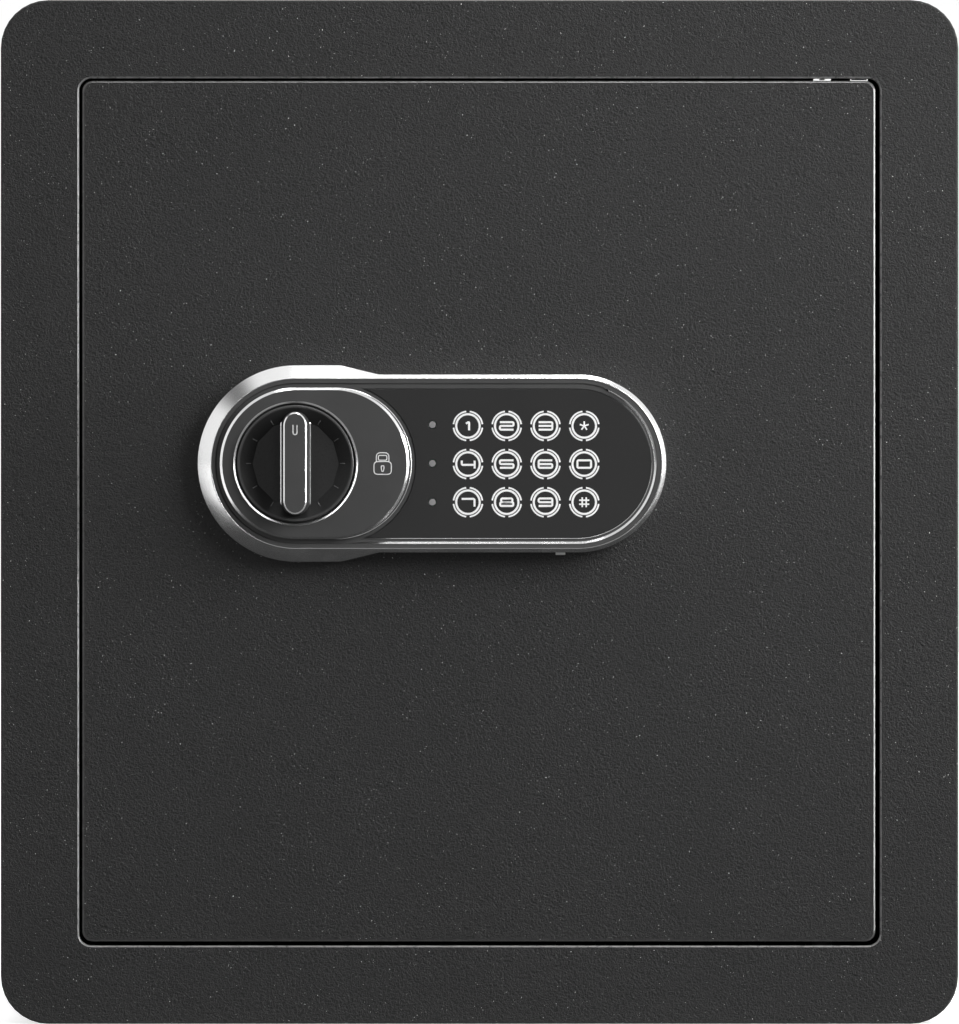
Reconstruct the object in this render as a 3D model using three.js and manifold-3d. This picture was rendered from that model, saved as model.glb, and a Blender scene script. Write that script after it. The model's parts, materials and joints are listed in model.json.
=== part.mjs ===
// Electronic home safe with a turning knob, an oval cover over the emergency lock and a touch keypad.
// Units are millimetres. X runs right as the front is seen, Y runs back into the safe, Z runs up.
// The pieces are drawn with Y = 0 on the front face, and the whole group is then moved so that the
// origin lies on the floor under the middle of the safe. The door is shut and its bolts are drawn in.
import * as THREE from "three";
import { mergeVertices } from "three/addons/utils/BufferGeometryUtils.js";
import Module from "manifold-3d";

const wasm = await Module();
wasm.setup();

// Body
const WIDTH = 360;
const HEIGHT = 385;
const DEPTH = 320;
const BODY_CORNER = 18;
const WRAP_WALL = 2;
const REAR_WALL = 2;
const FRAME_PLATE = 4;
const FRAME_BORDER = 29.5;
const OPENING_CORNER = 4.5;
const EDGE_BREAK = 0.6;

// Door
const GAP_LEFT = 1.1;
const GAP_RIGHT = 1.6;
const GAP_TOP = 0.9;
const GAP_BOTTOM = 1.5;
const DOOR_PLATE = 4;
const DOOR_CORNER = 4;
const PAN_WALL = 1.5;
const PAN_DEPTH = 38;
const PAN_FLANGE = 12;
const PAN_CORNER = 3;
const PAN_EDGE_INSET = 1;
const PAN_SWING_GAP = 2.3;
const BACK_SHEET = 1.2;
const BACK_SHEET_INSET = 0.5;
const SCREW_RADIUS = 1.5;
const SCREW_HEAD_RADIUS = 3.2;
const SCREW_HEAD = 1.8;
const SCREW_LENGTH = 6;

// Hinge
const PIN_RADIUS = 2.8;
const PIN_COVER = 1.2;
const SWING_CLEARANCE = 0.7;
const BRACKET_WIDTH = 22;
const BRACKET_HEIGHT = 14;
const BRACKET_SETBACK = 0.5;
const BLOCK_WIDTH = 18;
const BLOCK_HEIGHT = 20;
const HINGE_WALL = 8;
const PIN_HEAD = 2.5;

// Shelf, mat and anchor plugs
const SHELF_HEIGHT = 187;
const SHELF_SHEET = 1.5;
const SHELF_FLANGE = 15;
const SHELF_FRONT = 62;
const SHELF_SIDE_GAP = 1.5;
const SUPPORT_SHEET = 2;
const SUPPORT_LEG = 14;
const MAT_THICKNESS = 3;
const MAT_FRONT = 50;
const ANCHOR_RADIUS = 5.2;
const ANCHOR_SPACING = 160;
const ANCHOR_DROP = 100;
const PLUG_FLANGE_RADIUS = 8;
const PLUG_FLANGE = 1.6;

// Lock panel
const LOCK_INSET = 80.5;
const LOCK_DROP = 144.8;
const KEYPAD_REACH = 105.6;
const PANEL_RADIUS = 31.9;
const LOBE_BEVEL = 5;
const KEYPAD_BEVEL = 1.5;
const LOBE_FLAT = 16.8;
const LOBE_SLOPE = 14.5;
const BEZEL_WALL = 8;
const BEZEL_PROUD = 13.3;
const FACE_PROUD = 12.4;
const FACE_SHEET = 3;
const LENS_RADIUS = 27.8;
const LENS_SHEET = 1.4;
const LENS_PROUD = 12.8;
const LENS_COVER_GAP = 1.6;
const TRIM_RADIUS = 30.2;
const TRIM_WIDTH = 0.9;
const TRIM_PROUD = 13.1;
const TRIM_START = 21;
const BOARD_SHEET = 1.6;
const BOARD_STANDOFF = 1.4;
const BOARD_HEIGHT = 48;
const BOARD_LENGTH = 76;
const BOARD_OFFSET = 82;
const STANDOFF_RADIUS = 2.2;
const BOSS_RADIUS = 4;
const BOSS_LEFT_OFFSET = -24;
const BOSS_RIGHT_OFFSET = 24;
const LIGHT_RADIUS = 1.3;
const LIGHT_OFFSET = 51.2;
const KEY_PITCH = 14.5;
const PORT_OFFSET = 99.3;
const PORT_WIDTH = 3.6;
const PORT_HEIGHT = 0.9;
const PORT_DEPTH = 4;

// Oval cover
const COVER_RADIUS = 28.4;
const COVER_STRAIGHT = 15.1;
const COVER_PROUD = 16.5;
const COVER_CHAMFER = 1.1;
const COVER_HOLE_RADIUS = 22.6;
const COVER_HOLE_CHAMFER = 1.3;
const PEG_RADIUS = 1.5;
const PEG_LENGTH = 4;
const PEG_SIDE = 21;
const PEG_RISE = 18.5;

// Knob
const KNOB_RADIUS = 21.8;
const KNOB_RIM_PROUD = 19.6;
const KNOB_RIM_CHAMFER = 0.6;
const DISH_RADIUS = 20.4;
const DISH_FLOOR_RADIUS = 16.8;
const DISH_DEPTH = 4;
const DISH_SIDES = 12;
const GRIP_WIDTH = 8.7;
const GRIP_LENGTH = 38;
const GRIP_FOOT_WIDTH = 11.4;
const GRIP_FOOT_LENGTH = 40;
const GRIP_PROUD = 32;
const GRIP_CHAMFER = 0.7;
const POINTER_WIDTH = 1.9;
const POINTER_LENGTH = 3.9;
const POINTER_DEPTH = 0.5;
const POINTER_RISE = 12.5;
const SPINDLE_RADIUS = 3.5;
const SPINDLE_GRIP = 9;
const BUSHING_RADIUS = 6.7;
const BUSHING_FLANGE_RADIUS = 10;
const BUSHING_FLANGE = 1.5;
const CLIP_RADIUS = 6.5;
const CLIP_SHEET = 1;

// Bolt work
const BOLT_RADIUS = 10;
const BOLT_FRAME_GAP = 1;
const BOLT_CHAMFER = 1;
const BOLT_SPACING = 200;
const BOLT_LENGTH = 33;
const BOLT_REST_PROUD = 1;
const BOLT_THROW = 14;
const SPIGOT_RADIUS = 4.7;
const SPIGOT_PROUD = 2.5;
const CARRIAGE_SHEET = 2;
const CARRIAGE_WIDTH = 34;
const CARRIAGE_END = 12;
const CAM_THICKNESS = 4;
const CAM_GAP = 3;
const CAM_HUB_RADIUS = 8;
const CAM_PIN_RADIUS = 3;
const CAM_BOW = 0.3;
const ARM_DROP = 18;
const ARM_RISE = 3;
const STUD_INSET = 8;
const STUD_SPACING = 120;
const STUD_RADIUS = 3;
const STUD_SHOULDER_RADIUS = 6;
const STUD_HEAD_RADIUS = 5.5;
const STUD_HEAD = 2;

// Solenoid and emergency lock
const KEY_OFFSET = 32.8;
const CYLINDER_RADIUS = 6.5;
const CYLINDER_REAR = 16;
const CYLINDER_FLANGE_RADIUS = 8.5;
const CYLINDER_FLANGE = 1.5;
const KEY_PLUG_RADIUS = 4;
const KEYWAY_WIDTH = 1.6;
const KEYWAY_HEIGHT = 5.6;
const KEYWAY_DEPTH = 9;
const KEY_TAIL_RADIUS = 2.5;
const KEY_CAM_SHEET = 3;
const KEY_CAM_HUB_RADIUS = 5;
const KEY_CAM_TIP_RADIUS = 2.5;
const PLUNGER_RADIUS = 3;
const PLUNGER_STROKE = 5;
const PLUNGER_TIP_GAP = 0.6;
const PLUNGER_LENGTH = 32;
const TAB_DROP = 4;
const TAB_SHEET = 3;
const SOLENOID_WIDTH = 22;
const SOLENOID_HEIGHT = 34;
const SOLENOID_DEPTH = 18;
const BRACKET_SHEET = 2;
const BRACKET_FLANGE = 10;

// Electronics on the back of the door
const CONTROL_WIDTH = 60;
const CONTROL_HEIGHT = 52;
const CONTROL_DEPTH = 16;
const CONTROL_OFFSET = 93;
const RIBBON_WIDTH = 12;
const RIBBON_THICKNESS = 1.2;
const RIBBON_HOLE_RADIUS = 7;
const BATTERY_RADIUS = 7.1;
const BATTERY_LENGTH = 50;
const BATTERY_COUNT = 4;
const BATTERY_BOX_WALL = 1.8;
const BATTERY_BOX_FLANGE = 3;
const BATTERY_BOX_RIM = 2;
const BATTERY_CENTRE_X = 40;
const BATTERY_DROP = 77.5;
const LID_SHEET = 2;
const LID_PIN_RADIUS = 1;
const LID_EAR = 2.5;
const RESET_INSET = 36;
const RESET_RADIUS = 4;
const RESET_PROUD = 2.8;
const RESET_LENGTH = 9;
const RESET_HOUSING = 16;
const RESET_HOUSING_DEPTH = 12;

// Clearances and facets
const FIT_GAP = 0.3;
const RUNNING_GAP = 0.25;
const CORNER_STEPS = 4;
const OVAL_STEPS = 10;
const ROUND_STEPS = 16;
const FINE_STEPS = 40;

// Doorway and door edges
const openingLeft = -WIDTH / 2 + FRAME_BORDER;
const openingRight = WIDTH / 2 - FRAME_BORDER;
const openingBottom = FRAME_BORDER;
const openingTop = HEIGHT - FRAME_BORDER;
const doorLeft = openingLeft + GAP_LEFT;
const doorRight = openingRight - GAP_RIGHT;
const doorBottom = openingBottom + GAP_BOTTOM;
const doorTop = openingTop - GAP_TOP;

// The hinge axis lies far enough in from the doorway for the door's front corner to swing clear.
const hingeDepth = DOOR_PLATE + PIN_COVER + PIN_RADIUS;
const hingeInset = (GAP_RIGHT ** 2 + hingeDepth ** 2) / (2 * GAP_RIGHT) + SWING_CLEARANCE;
const hingeX = openingRight - hingeInset;
const pinHeadRadius = hingeDepth - Math.max(FRAME_PLATE, DOOR_PLATE) - FIT_GAP;

// The pan stops short of the doorway by what its back corner needs to swing out.
const backFace = DOOR_PLATE + PAN_DEPTH + BACK_SHEET;
const hingeSpan = hingeX - openingLeft;
const panReach = Math.sqrt(hingeSpan ** 2 - (backFace - hingeDepth) ** 2) - PAN_SWING_GAP;
const panLeft = hingeX - panReach;
const panRight = hingeX + BRACKET_WIDTH / 2 + BRACKET_SHEET * 2;
const panBottom = doorBottom + PAN_EDGE_INSET;
const panTop = doorTop - PAN_EDGE_INSET;
const panRear = DOOR_PLATE + PAN_DEPTH;

// Lock centres
const lockX = doorLeft + LOCK_INSET;
const lockZ = openingTop - LOCK_DROP;
const keypadX = lockX + KEYPAD_REACH;
const coverEndX = lockX + COVER_STRAIGHT;
const keyX = lockX + KEY_OFFSET;
const faceBack = -FACE_PROUD + FACE_SHEET;
const boardFront = faceBack + BOARD_STANDOFF;
const boardRear = boardFront + BOARD_SHEET;

// Bolt work depths and places
const boltDepth = Math.max(FRAME_PLATE, DOOR_PLATE) + BOLT_FRAME_GAP + BOLT_RADIUS;
const webFront = boltDepth + BOLT_RADIUS + BOLT_FRAME_GAP;
const webRear = webFront + CARRIAGE_SHEET;
const boltTip = panLeft - BOLT_REST_PROUD;
const carriageLeft = boltTip + BOLT_LENGTH;
const camRear = webFront - CAM_GAP;
const camFront = camRear - CAM_THICKNESS;
const pinOffset = BOLT_THROW / 2;
const armBottom = lockZ - ARM_DROP;
const plungerDepth = webFront + CARRIAGE_SHEET / 2;
const notchHalf = PLUNGER_RADIUS + FIT_GAP;
const plungerTip = armBottom - PLUNGER_TIP_GAP;
const tabTop = plungerTip - TAB_DROP;
const tabBottom = tabTop - TAB_SHEET;
const solenoidTop = tabBottom - FIT_GAP * 3;
const keyCamFront = CYLINDER_REAR + FIT_GAP;
const keyCamRear = keyCamFront + KEY_CAM_SHEET;
const resetX = panRight - RESET_INSET;

// Finishes
const POWDER_COAT = { color: 0x343536, roughness: 0.62, metalness: 0.15 };
const CHROME = { color: 0xc9cbcd, roughness: 0.18, metalness: 1 };
const ZINC_STEEL = { color: 0xa9acae, roughness: 0.4, metalness: 0.9 };
const DARK_PLASTIC = { color: 0x3a3b3c, roughness: 0.45, metalness: 0.1 };
const LENS_BLACK = { color: 0x1c1d1e, roughness: 0.12, metalness: 0.05 };
const SATIN_GREY = { color: 0x4a4b4c, roughness: 0.35, metalness: 0.4 };
const LIGHT_GREY = { color: 0x8a8c8e, roughness: 0.4, metalness: 0 };
const BOARD_GREEN = { color: 0x1f5a38, roughness: 0.5, metalness: 0 };
const FELT = { color: 0x2c2d30, roughness: 0.95, metalness: 0 };
const BRASS = { color: 0xb5964e, roughness: 0.35, metalness: 1 };
const CELL_WRAP = { color: 0x2f3b4f, roughness: 0.35, metalness: 0.2 };

// Merge the shared corners, drop the flat triangles that a lathe leaves on its axis, face outwards.
function welded(geometry) {
  const source = geometry.index ? geometry.toNonIndexed() : geometry.clone();
  const bare = new THREE.BufferGeometry();
  bare.setAttribute("position", source.getAttribute("position"));
  const merged = mergeVertices(bare, 1e-3);
  const corners = merged.index.array;
  const kept = [];
  for (let i = 0; i < corners.length; i += 3) {
    const [a, b, c] = [corners[i], corners[i + 1], corners[i + 2]];
    if (a !== b && b !== c && c !== a) kept.push(a, b, c);
  }
  merged.setIndex(kept);
  if (signedVolume(merged) < 0) {
    for (let i = 0; i < kept.length; i += 3) {
      [kept[i + 1], kept[i + 2]] = [kept[i + 2], kept[i + 1]];
    }
    merged.setIndex(kept);
  }
  return merged;
}

function signedVolume(geometry) {
  const place = geometry.getAttribute("position");
  const corners = geometry.index.array;
  const point = (k) => new THREE.Vector3().fromBufferAttribute(place, corners[k]);
  let total = 0;
  for (let i = 0; i < corners.length; i += 3) {
    total += point(i).dot(point(i + 1).cross(point(i + 2)));
  }
  return total / 6;
}

function toSolid(geometry) {
  const mesh = welded(geometry);
  return new wasm.Manifold(
    new wasm.Mesh({
      numProp: 3,
      vertProperties: new Float32Array(mesh.getAttribute("position").array),
      triVerts: new Uint32Array(mesh.index.array),
    }),
  );
}

function toGeometry(solid) {
  const mesh = solid.getMesh();
  const geometry = new THREE.BufferGeometry();
  geometry.setAttribute("position", new THREE.BufferAttribute(mesh.vertProperties, 3));
  geometry.setIndex(new THREE.BufferAttribute(mesh.triVerts, 1));
  return geometry;
}

function cut(base, ...tools) {
  let result = toSolid(base);
  for (const tool of tools) result = result.subtract(toSolid(tool));
  return toGeometry(result);
}

function join(base, ...others) {
  let result = toSolid(base);
  for (const other of others) result = result.add(toSolid(other));
  return toGeometry(result);
}

function block(left, right, front, rear, bottom, top) {
  const box = new THREE.BoxGeometry(right - left, rear - front, top - bottom);
  return box.translate((left + right) / 2, (front + rear) / 2, (bottom + top) / 2);
}

// A profile of [radius, place along the axis] pairs, turned about an axis that runs along Y.
function turned(profile, x, z, steps = ROUND_STEPS) {
  const points = profile.map(([radius, along]) => new THREE.Vector2(radius, along));
  if (profile[0][0] > 0) points.push(points[0].clone());
  return welded(new THREE.LatheGeometry(points, steps).translate(x, 0, z));
}

function rodY(radius, front, rear, x, z, steps = ROUND_STEPS) {
  return turned([[0, front], [radius, front], [radius, rear], [0, rear]], x, z, steps);
}

function turnedX(profile, y, z, steps = ROUND_STEPS) {
  return turned(profile, 0, 0, steps).rotateZ(-Math.PI / 2).translate(0, y, z);
}

function rodX(radius, left, right, y, z) {
  return turnedX([[0, left], [radius, left], [radius, right], [0, right]], y, z);
}

function turnedZ(profile, x, y, steps = ROUND_STEPS) {
  return turned(profile, 0, 0, steps).rotateX(Math.PI / 2).translate(x, y, 0);
}

function rodZ(radius, bottom, top, x, y) {
  return turnedZ([[0, bottom], [radius, bottom], [radius, top], [0, top]], x, y);
}

function roundedRectangle(left, right, bottom, top, radius) {
  const outline = new THREE.Shape();
  const quarter = Math.PI / 2;
  outline.absarc(right - radius, bottom + radius, radius, -quarter, 0);
  outline.absarc(right - radius, top - radius, radius, 0, quarter);
  outline.absarc(left + radius, top - radius, radius, quarter, 2 * quarter);
  outline.absarc(left + radius, bottom + radius, radius, 2 * quarter, 3 * quarter);
  return outline;
}

// A flat-sided oval lying along X, from one arc centre to the other.
function stadium(fromX, toX, z, radius) {
  const outline = new THREE.Shape();
  outline.absarc(toX, z, radius, -Math.PI / 2, Math.PI / 2);
  outline.absarc(fromX, z, radius, Math.PI / 2, 1.5 * Math.PI);
  return outline;
}

// An outline in X and Z, made a plate that runs back from its front face.
function plate(outline, front, rear, steps = CORNER_STEPS) {
  const shape = { depth: rear - front, bevelEnabled: false, curveSegments: steps };
  return new THREE.ExtrudeGeometry(outline, shape).rotateX(Math.PI / 2).translate(0, rear, 0);
}

// The same plate with both edges broken by a chamfer.
function chamferedPlate(outline, front, rear, chamfer, steps = CORNER_STEPS) {
  const shape = {
    depth: rear - front - 2 * chamfer,
    bevelThickness: chamfer,
    bevelSize: chamfer,
    bevelOffset: -chamfer,
    bevelSegments: 1,
    curveSegments: steps,
  };
  const geometry = new THREE.ExtrudeGeometry(outline, shape).rotateX(Math.PI / 2);
  return geometry.translate(0, rear - chamfer, 0);
}

// Loops of [x, y, z] points, each joined to the next by a band of faces.
function banded(loops, closed) {
  const count = loops[0].length;
  const places = loops.flat(2);
  const corners = [];
  const bands = closed ? loops.length : loops.length - 1;
  for (let k = 0; k < bands; k += 1) {
    const here = k * count;
    const next = ((k + 1) % loops.length) * count;
    for (let i = 0; i < count; i += 1) {
      const j = (i + 1) % count;
      corners.push(here + i, here + j, next + i, next + i, here + j, next + j);
    }
  }
  if (!closed) {
    const last = (loops.length - 1) * count;
    for (let i = 1; i < count - 1; i += 1) {
      corners.push(0, i + 1, i);
      corners.push(last, last + i, last + i + 1);
    }
  }
  const geometry = new THREE.BufferGeometry();
  geometry.setAttribute("position", new THREE.Float32BufferAttribute(places, 3));
  geometry.setIndex(corners);
  return welded(geometry);
}

const safe = new THREE.Group();
safe.position.y = (GRIP_PROUD - DEPTH) / 2;

function add(name, geometry, finish) {
  const mesh = new THREE.Mesh(geometry, new THREE.MeshStandardMaterial(finish));
  mesh.name = name;
  safe.add(mesh);
}

// Steel body: a wrapped sleeve, a plate across the front with the doorway, a plate across the back.
function addBody() {
  const outer = roundedRectangle(-WIDTH / 2, WIDTH / 2, 0, HEIGHT, BODY_CORNER);
  const inner = roundedRectangle(
    -WIDTH / 2 + WRAP_WALL,
    WIDTH / 2 - WRAP_WALL,
    WRAP_WALL,
    HEIGHT - WRAP_WALL,
    BODY_CORNER - WRAP_WALL,
  );
  outer.holes.push(inner);
  add("body_wrap", plate(outer, FRAME_PLATE, DEPTH - REAR_WALL), POWDER_COAT);

  const face = roundedRectangle(-WIDTH / 2, WIDTH / 2, 0, HEIGHT, BODY_CORNER);
  const doorway = [openingLeft, openingRight, openingBottom, openingTop, OPENING_CORNER];
  face.holes.push(roundedRectangle(...doorway));
  add("front_frame", chamferedPlate(face, 0, FRAME_PLATE, EDGE_BREAK), POWDER_COAT);

  const back = roundedRectangle(-WIDTH / 2, WIDTH / 2, 0, HEIGHT, BODY_CORNER);
  const rear = plate(back, DEPTH - REAR_WALL, DEPTH);
  const anchorZ = HEIGHT - ANCHOR_DROP;
  const anchors = [-ANCHOR_SPACING / 2, ANCHOR_SPACING / 2];
  const holes = anchors.map((x) => rodY(ANCHOR_RADIUS, DEPTH - 2 * REAR_WALL, DEPTH + 1, x, anchorZ));
  add("rear_wall", cut(rear, ...holes), POWDER_COAT);
  anchors.forEach((x, i) => {
    const inside = DEPTH - REAR_WALL;
    const stem = ANCHOR_RADIUS - FIT_GAP;
    const profile = [
      [0, inside - PLUG_FLANGE],
      [PLUG_FLANGE_RADIUS, inside - PLUG_FLANGE],
      [PLUG_FLANGE_RADIUS, inside],
      [stem, inside],
      [stem, DEPTH - FIT_GAP],
      [0, DEPTH - FIT_GAP],
    ];
    add(`anchor_plug_${i + 1}`, turned(profile, x, anchorZ), DARK_PLASTIC);
  });
}

// Shelf on two angles that are welded to the side walls, and a mat on the floor.
function addInterior() {
  const wall = WIDTH / 2 - WRAP_WALL;
  const rear = DEPTH - REAR_WALL - SHELF_SIDE_GAP;
  const supportTop = SHELF_HEIGHT - FIT_GAP;
  const supportLow = supportTop - SUPPORT_LEG;
  for (const [side, sign] of [["left", -1], ["right", 1]]) {
    const along = (from, to) => (sign > 0 ? [from, to] : [-to, -from]);
    const upright = block(...along(wall - SUPPORT_SHEET, wall), SHELF_FRONT, rear, supportLow, supportTop);
    const ledge = block(
      ...along(wall - SUPPORT_LEG, wall),
      SHELF_FRONT,
      rear,
      supportTop - SUPPORT_SHEET,
      supportTop,
    );
    add(`shelf_support_${side}`, join(upright, ledge), POWDER_COAT);
  }
  const half = wall - SHELF_SIDE_GAP;
  const lipHalf = wall - SUPPORT_LEG - SHELF_SIDE_GAP;
  const sheet = block(-half, half, SHELF_FRONT, rear, SHELF_HEIGHT, SHELF_HEIGHT + SHELF_SHEET);
  const lipLow = SHELF_HEIGHT + SHELF_SHEET - SHELF_FLANGE;
  const lipTop = SHELF_HEIGHT + SHELF_SHEET / 2;
  const lip = block(-lipHalf, lipHalf, SHELF_FRONT, SHELF_FRONT + SHELF_SHEET, lipLow, lipTop);
  add("shelf", join(sheet, lip), POWDER_COAT);

  const matHalf = WIDTH / 2 - BODY_CORNER - 1;
  const matRear = DEPTH - REAR_WALL - SHELF_SIDE_GAP;
  const mat = block(-matHalf, matHalf, MAT_FRONT, matRear, WRAP_WALL, WRAP_WALL + MAT_THICKNESS);
  add("floor_mat", mat, FELT);
}

// Hinge pins fixed in brackets behind the frame, turning in blocks inside the door.
function addHinges() {
  const hole = PIN_RADIUS + RUNNING_GAP;
  const rear = hingeDepth + HINGE_WALL;
  const bracketLeft = hingeX - BRACKET_WIDTH / 2;
  const bracketRight = hingeX + BRACKET_WIDTH / 2;
  const upperLow = openingTop + BRACKET_SETBACK;
  const upperHigh = upperLow + BRACKET_HEIGHT;
  const lowerHigh = openingBottom - BRACKET_SETBACK;
  const lowerLow = lowerHigh - BRACKET_HEIGHT;
  for (const [name, low, high] of [
    ["hinge_bracket_top", upperLow, upperHigh],
    ["hinge_bracket_bottom", lowerLow, lowerHigh],
  ]) {
    const body = block(bracketLeft, bracketRight, FRAME_PLATE, rear, low, high);
    add(name, cut(body, rodZ(hole, low - 1, high + 1, hingeX, hingeDepth)), POWDER_COAT);
  }
  const topBlockHigh = panTop - PAN_WALL - FIT_GAP;
  const topBlockLow = topBlockHigh - BLOCK_HEIGHT;
  const lowBlockLow = panBottom + PAN_WALL + FIT_GAP;
  const lowBlockHigh = lowBlockLow + BLOCK_HEIGHT;
  for (const [name, low, high] of [
    ["hinge_block_top", topBlockLow, topBlockHigh],
    ["hinge_block_bottom", lowBlockLow, lowBlockHigh],
  ]) {
    const half = BLOCK_WIDTH / 2;
    const body = block(hingeX - half, hingeX + half, DOOR_PLATE, rear, low, high);
    add(name, cut(body, rodZ(hole, low - 1, high + 1, hingeX, hingeDepth)), ZINC_STEEL);
  }
  const upper = [
    [0, topBlockLow + 1],
    [PIN_RADIUS, topBlockLow + 1],
    [PIN_RADIUS, upperHigh],
    [pinHeadRadius, upperHigh],
    [pinHeadRadius, upperHigh + PIN_HEAD],
    [0, upperHigh + PIN_HEAD],
  ];
  add("hinge_pin_top", turnedZ(upper, hingeX, hingeDepth), ZINC_STEEL);
  const lower = [
    [0, lowerLow],
    [PIN_RADIUS, lowerLow],
    [PIN_RADIUS, lowerHigh],
    [pinHeadRadius, lowerHigh],
    [pinHeadRadius, panBottom - FIT_GAP],
    [PIN_RADIUS, panBottom - FIT_GAP],
    [PIN_RADIUS, lowBlockHigh - 1],
    [0, lowBlockHigh - 1],
  ];
  add("hinge_pin_bottom", turnedZ(lower, hingeX, hingeDepth), ZINC_STEEL);
}

function coverScrewPlaces() {
  const inset = PAN_FLANGE / 2 + PAN_WALL;
  const places = [];
  for (const z of [panBottom + inset, panTop - inset]) {
    for (const x of [panLeft + inset, panRight - inset]) places.push([x, z]);
  }
  return places;
}

// Door: a thick front plate, a folded pan behind it and a thin back cover with its screws.
function addDoor() {
  const face = roundedRectangle(doorLeft, doorRight, doorBottom, doorTop, DOOR_CORNER);
  const skin = chamferedPlate(face, 0, DOOR_PLATE, EDGE_BREAK);
  const through = (radius, x, z) => rodY(radius, -1, DOOR_PLATE + 1, x, z);
  const holes = [
    through(BUSHING_RADIUS + FIT_GAP, lockX, lockZ),
    through(CYLINDER_RADIUS + FIT_GAP, keyX, lockZ),
    through(RIBBON_HOLE_RADIUS, lockX + CONTROL_OFFSET, lockZ),
    through(SCREW_RADIUS + FIT_GAP, lockX + BOSS_LEFT_OFFSET, lockZ),
    through(SCREW_RADIUS + FIT_GAP, keypadX + BOSS_RIGHT_OFFSET, lockZ),
  ];
  add("door_plate", cut(skin, ...holes), POWDER_COAT);

  const outline = roundedRectangle(panLeft, panRight, panBottom, panTop, PAN_CORNER);
  const inner = [panLeft + PAN_WALL, panRight - PAN_WALL];
  const innerZ = [panBottom + PAN_WALL, panTop - PAN_WALL];
  const mouth = PAN_WALL + PAN_FLANGE;
  const folded = plate(outline, DOOR_PLATE, panRear);
  const hollow = block(...inner, DOOR_PLATE - 1, panRear - PAN_WALL, ...innerZ);
  const opening = block(
    panLeft + mouth,
    panRight - mouth,
    panRear - 2 * PAN_WALL,
    panRear + 1,
    panBottom + mouth,
    panTop - mouth,
  );
  const boltHoles = boltHeights().map((z) =>
    rodX(BOLT_RADIUS + FIT_GAP, panLeft - 1, panLeft + PAN_WALL + 1, boltDepth, z),
  );
  const pinHole = PIN_RADIUS + RUNNING_GAP;
  const screwHoles = coverScrewPlaces().map(([x, z]) =>
    rodY(SCREW_RADIUS + FIT_GAP, panRear - 2 * PAN_WALL, panRear + 1, x, z),
  );
  const pan = cut(
    folded,
    hollow,
    opening,
    ...boltHoles,
    ...screwHoles,
    rodZ(pinHole, panTop - 2 * PAN_WALL, panTop + 1, hingeX, hingeDepth),
    rodZ(pinHole, panBottom - 1, panBottom + 2 * PAN_WALL, hingeX, hingeDepth),
  );
  add("door_pan", pan, POWDER_COAT);

  const inset = BACK_SHEET_INSET;
  const back = roundedRectangle(
    panLeft + inset,
    panRight - inset,
    panBottom + inset,
    panTop - inset,
    PAN_CORNER,
  );
  const sheetHole = (radius, x, z) => rodY(radius, panRear - 1, backFace + 1, x, z);
  const battery = batteryBox();
  const cover = cut(
    plate(back, panRear, backFace),
    block(
      battery.left - FIT_GAP,
      battery.right + FIT_GAP,
      panRear - 1,
      backFace + 1,
      battery.bottom - FIT_GAP,
      battery.top + FIT_GAP,
    ),
    sheetHole(RESET_RADIUS + FIT_GAP, resetX, lockZ),
    ...coverScrewPlaces().map(([x, z]) => sheetHole(SCREW_RADIUS + FIT_GAP, x, z)),
  );
  add("door_back_cover", cover, POWDER_COAT);
  coverScrewPlaces().forEach(([x, z], i) => {
    add(`cover_screw_${i + 1}`, screw(x, z, backFace), ZINC_STEEL);
  });
}

// A screw that is driven towards the front of the safe, with the underside of its head on a face.
function screw(x, z, seat, length = SCREW_LENGTH) {
  const profile = [
    [0, seat - length],
    [SCREW_RADIUS, seat - length],
    [SCREW_RADIUS, seat],
    [SCREW_HEAD_RADIUS, seat],
    [SCREW_HEAD_RADIUS, seat + SCREW_HEAD / 2],
    [SCREW_HEAD_RADIUS - SCREW_HEAD / 2, seat + SCREW_HEAD],
    [0, seat + SCREW_HEAD],
  ];
  return turned(profile, x, z);
}

// The panel's outline, as points that run from the top of the lobe to the left and round.
function panelOutline(lobeRadius, keypadRadius, y) {
  const points = [];
  const slopeSteps = 6;
  const halfSteps = 2 * OVAL_STEPS;
  const at = (x, z) => points.push([x, y, z]);
  const edge = (share, side) => {
    const smooth = share * share * (3 - 2 * share);
    const reach = lobeRadius + (keypadRadius - lobeRadius) * smooth;
    at(lockX + LOBE_FLAT + LOBE_SLOPE * share, lockZ + side * reach);
  };
  for (let i = 0; i <= halfSteps; i += 1) {
    const angle = Math.PI / 2 + (Math.PI * i) / halfSteps;
    at(lockX + lobeRadius * Math.cos(angle), lockZ + lobeRadius * Math.sin(angle));
  }
  for (let i = 0; i <= slopeSteps; i += 1) edge(i / slopeSteps, -1);
  for (let i = 0; i <= halfSteps; i += 1) {
    const angle = -Math.PI / 2 + (Math.PI * i) / halfSteps;
    at(keypadX + keypadRadius * Math.cos(angle), lockZ + keypadRadius * Math.sin(angle));
  }
  for (let i = slopeSteps; i >= 0; i -= 1) edge(i / slopeSteps, 1);
  return points;
}

function lensSolid(margin, front, rear) {
  const outline = stadium(lockX, keypadX, lockZ, LENS_RADIUS + margin);
  const clear = COVER_RADIUS + LENS_COVER_GAP - margin;
  const cutter = stadium(lockX - PANEL_RADIUS, coverEndX, lockZ, clear);
  return cut(plate(outline, front, rear, OVAL_STEPS), plate(cutter, front - 1, rear + 1, OVAL_STEPS));
}

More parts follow.
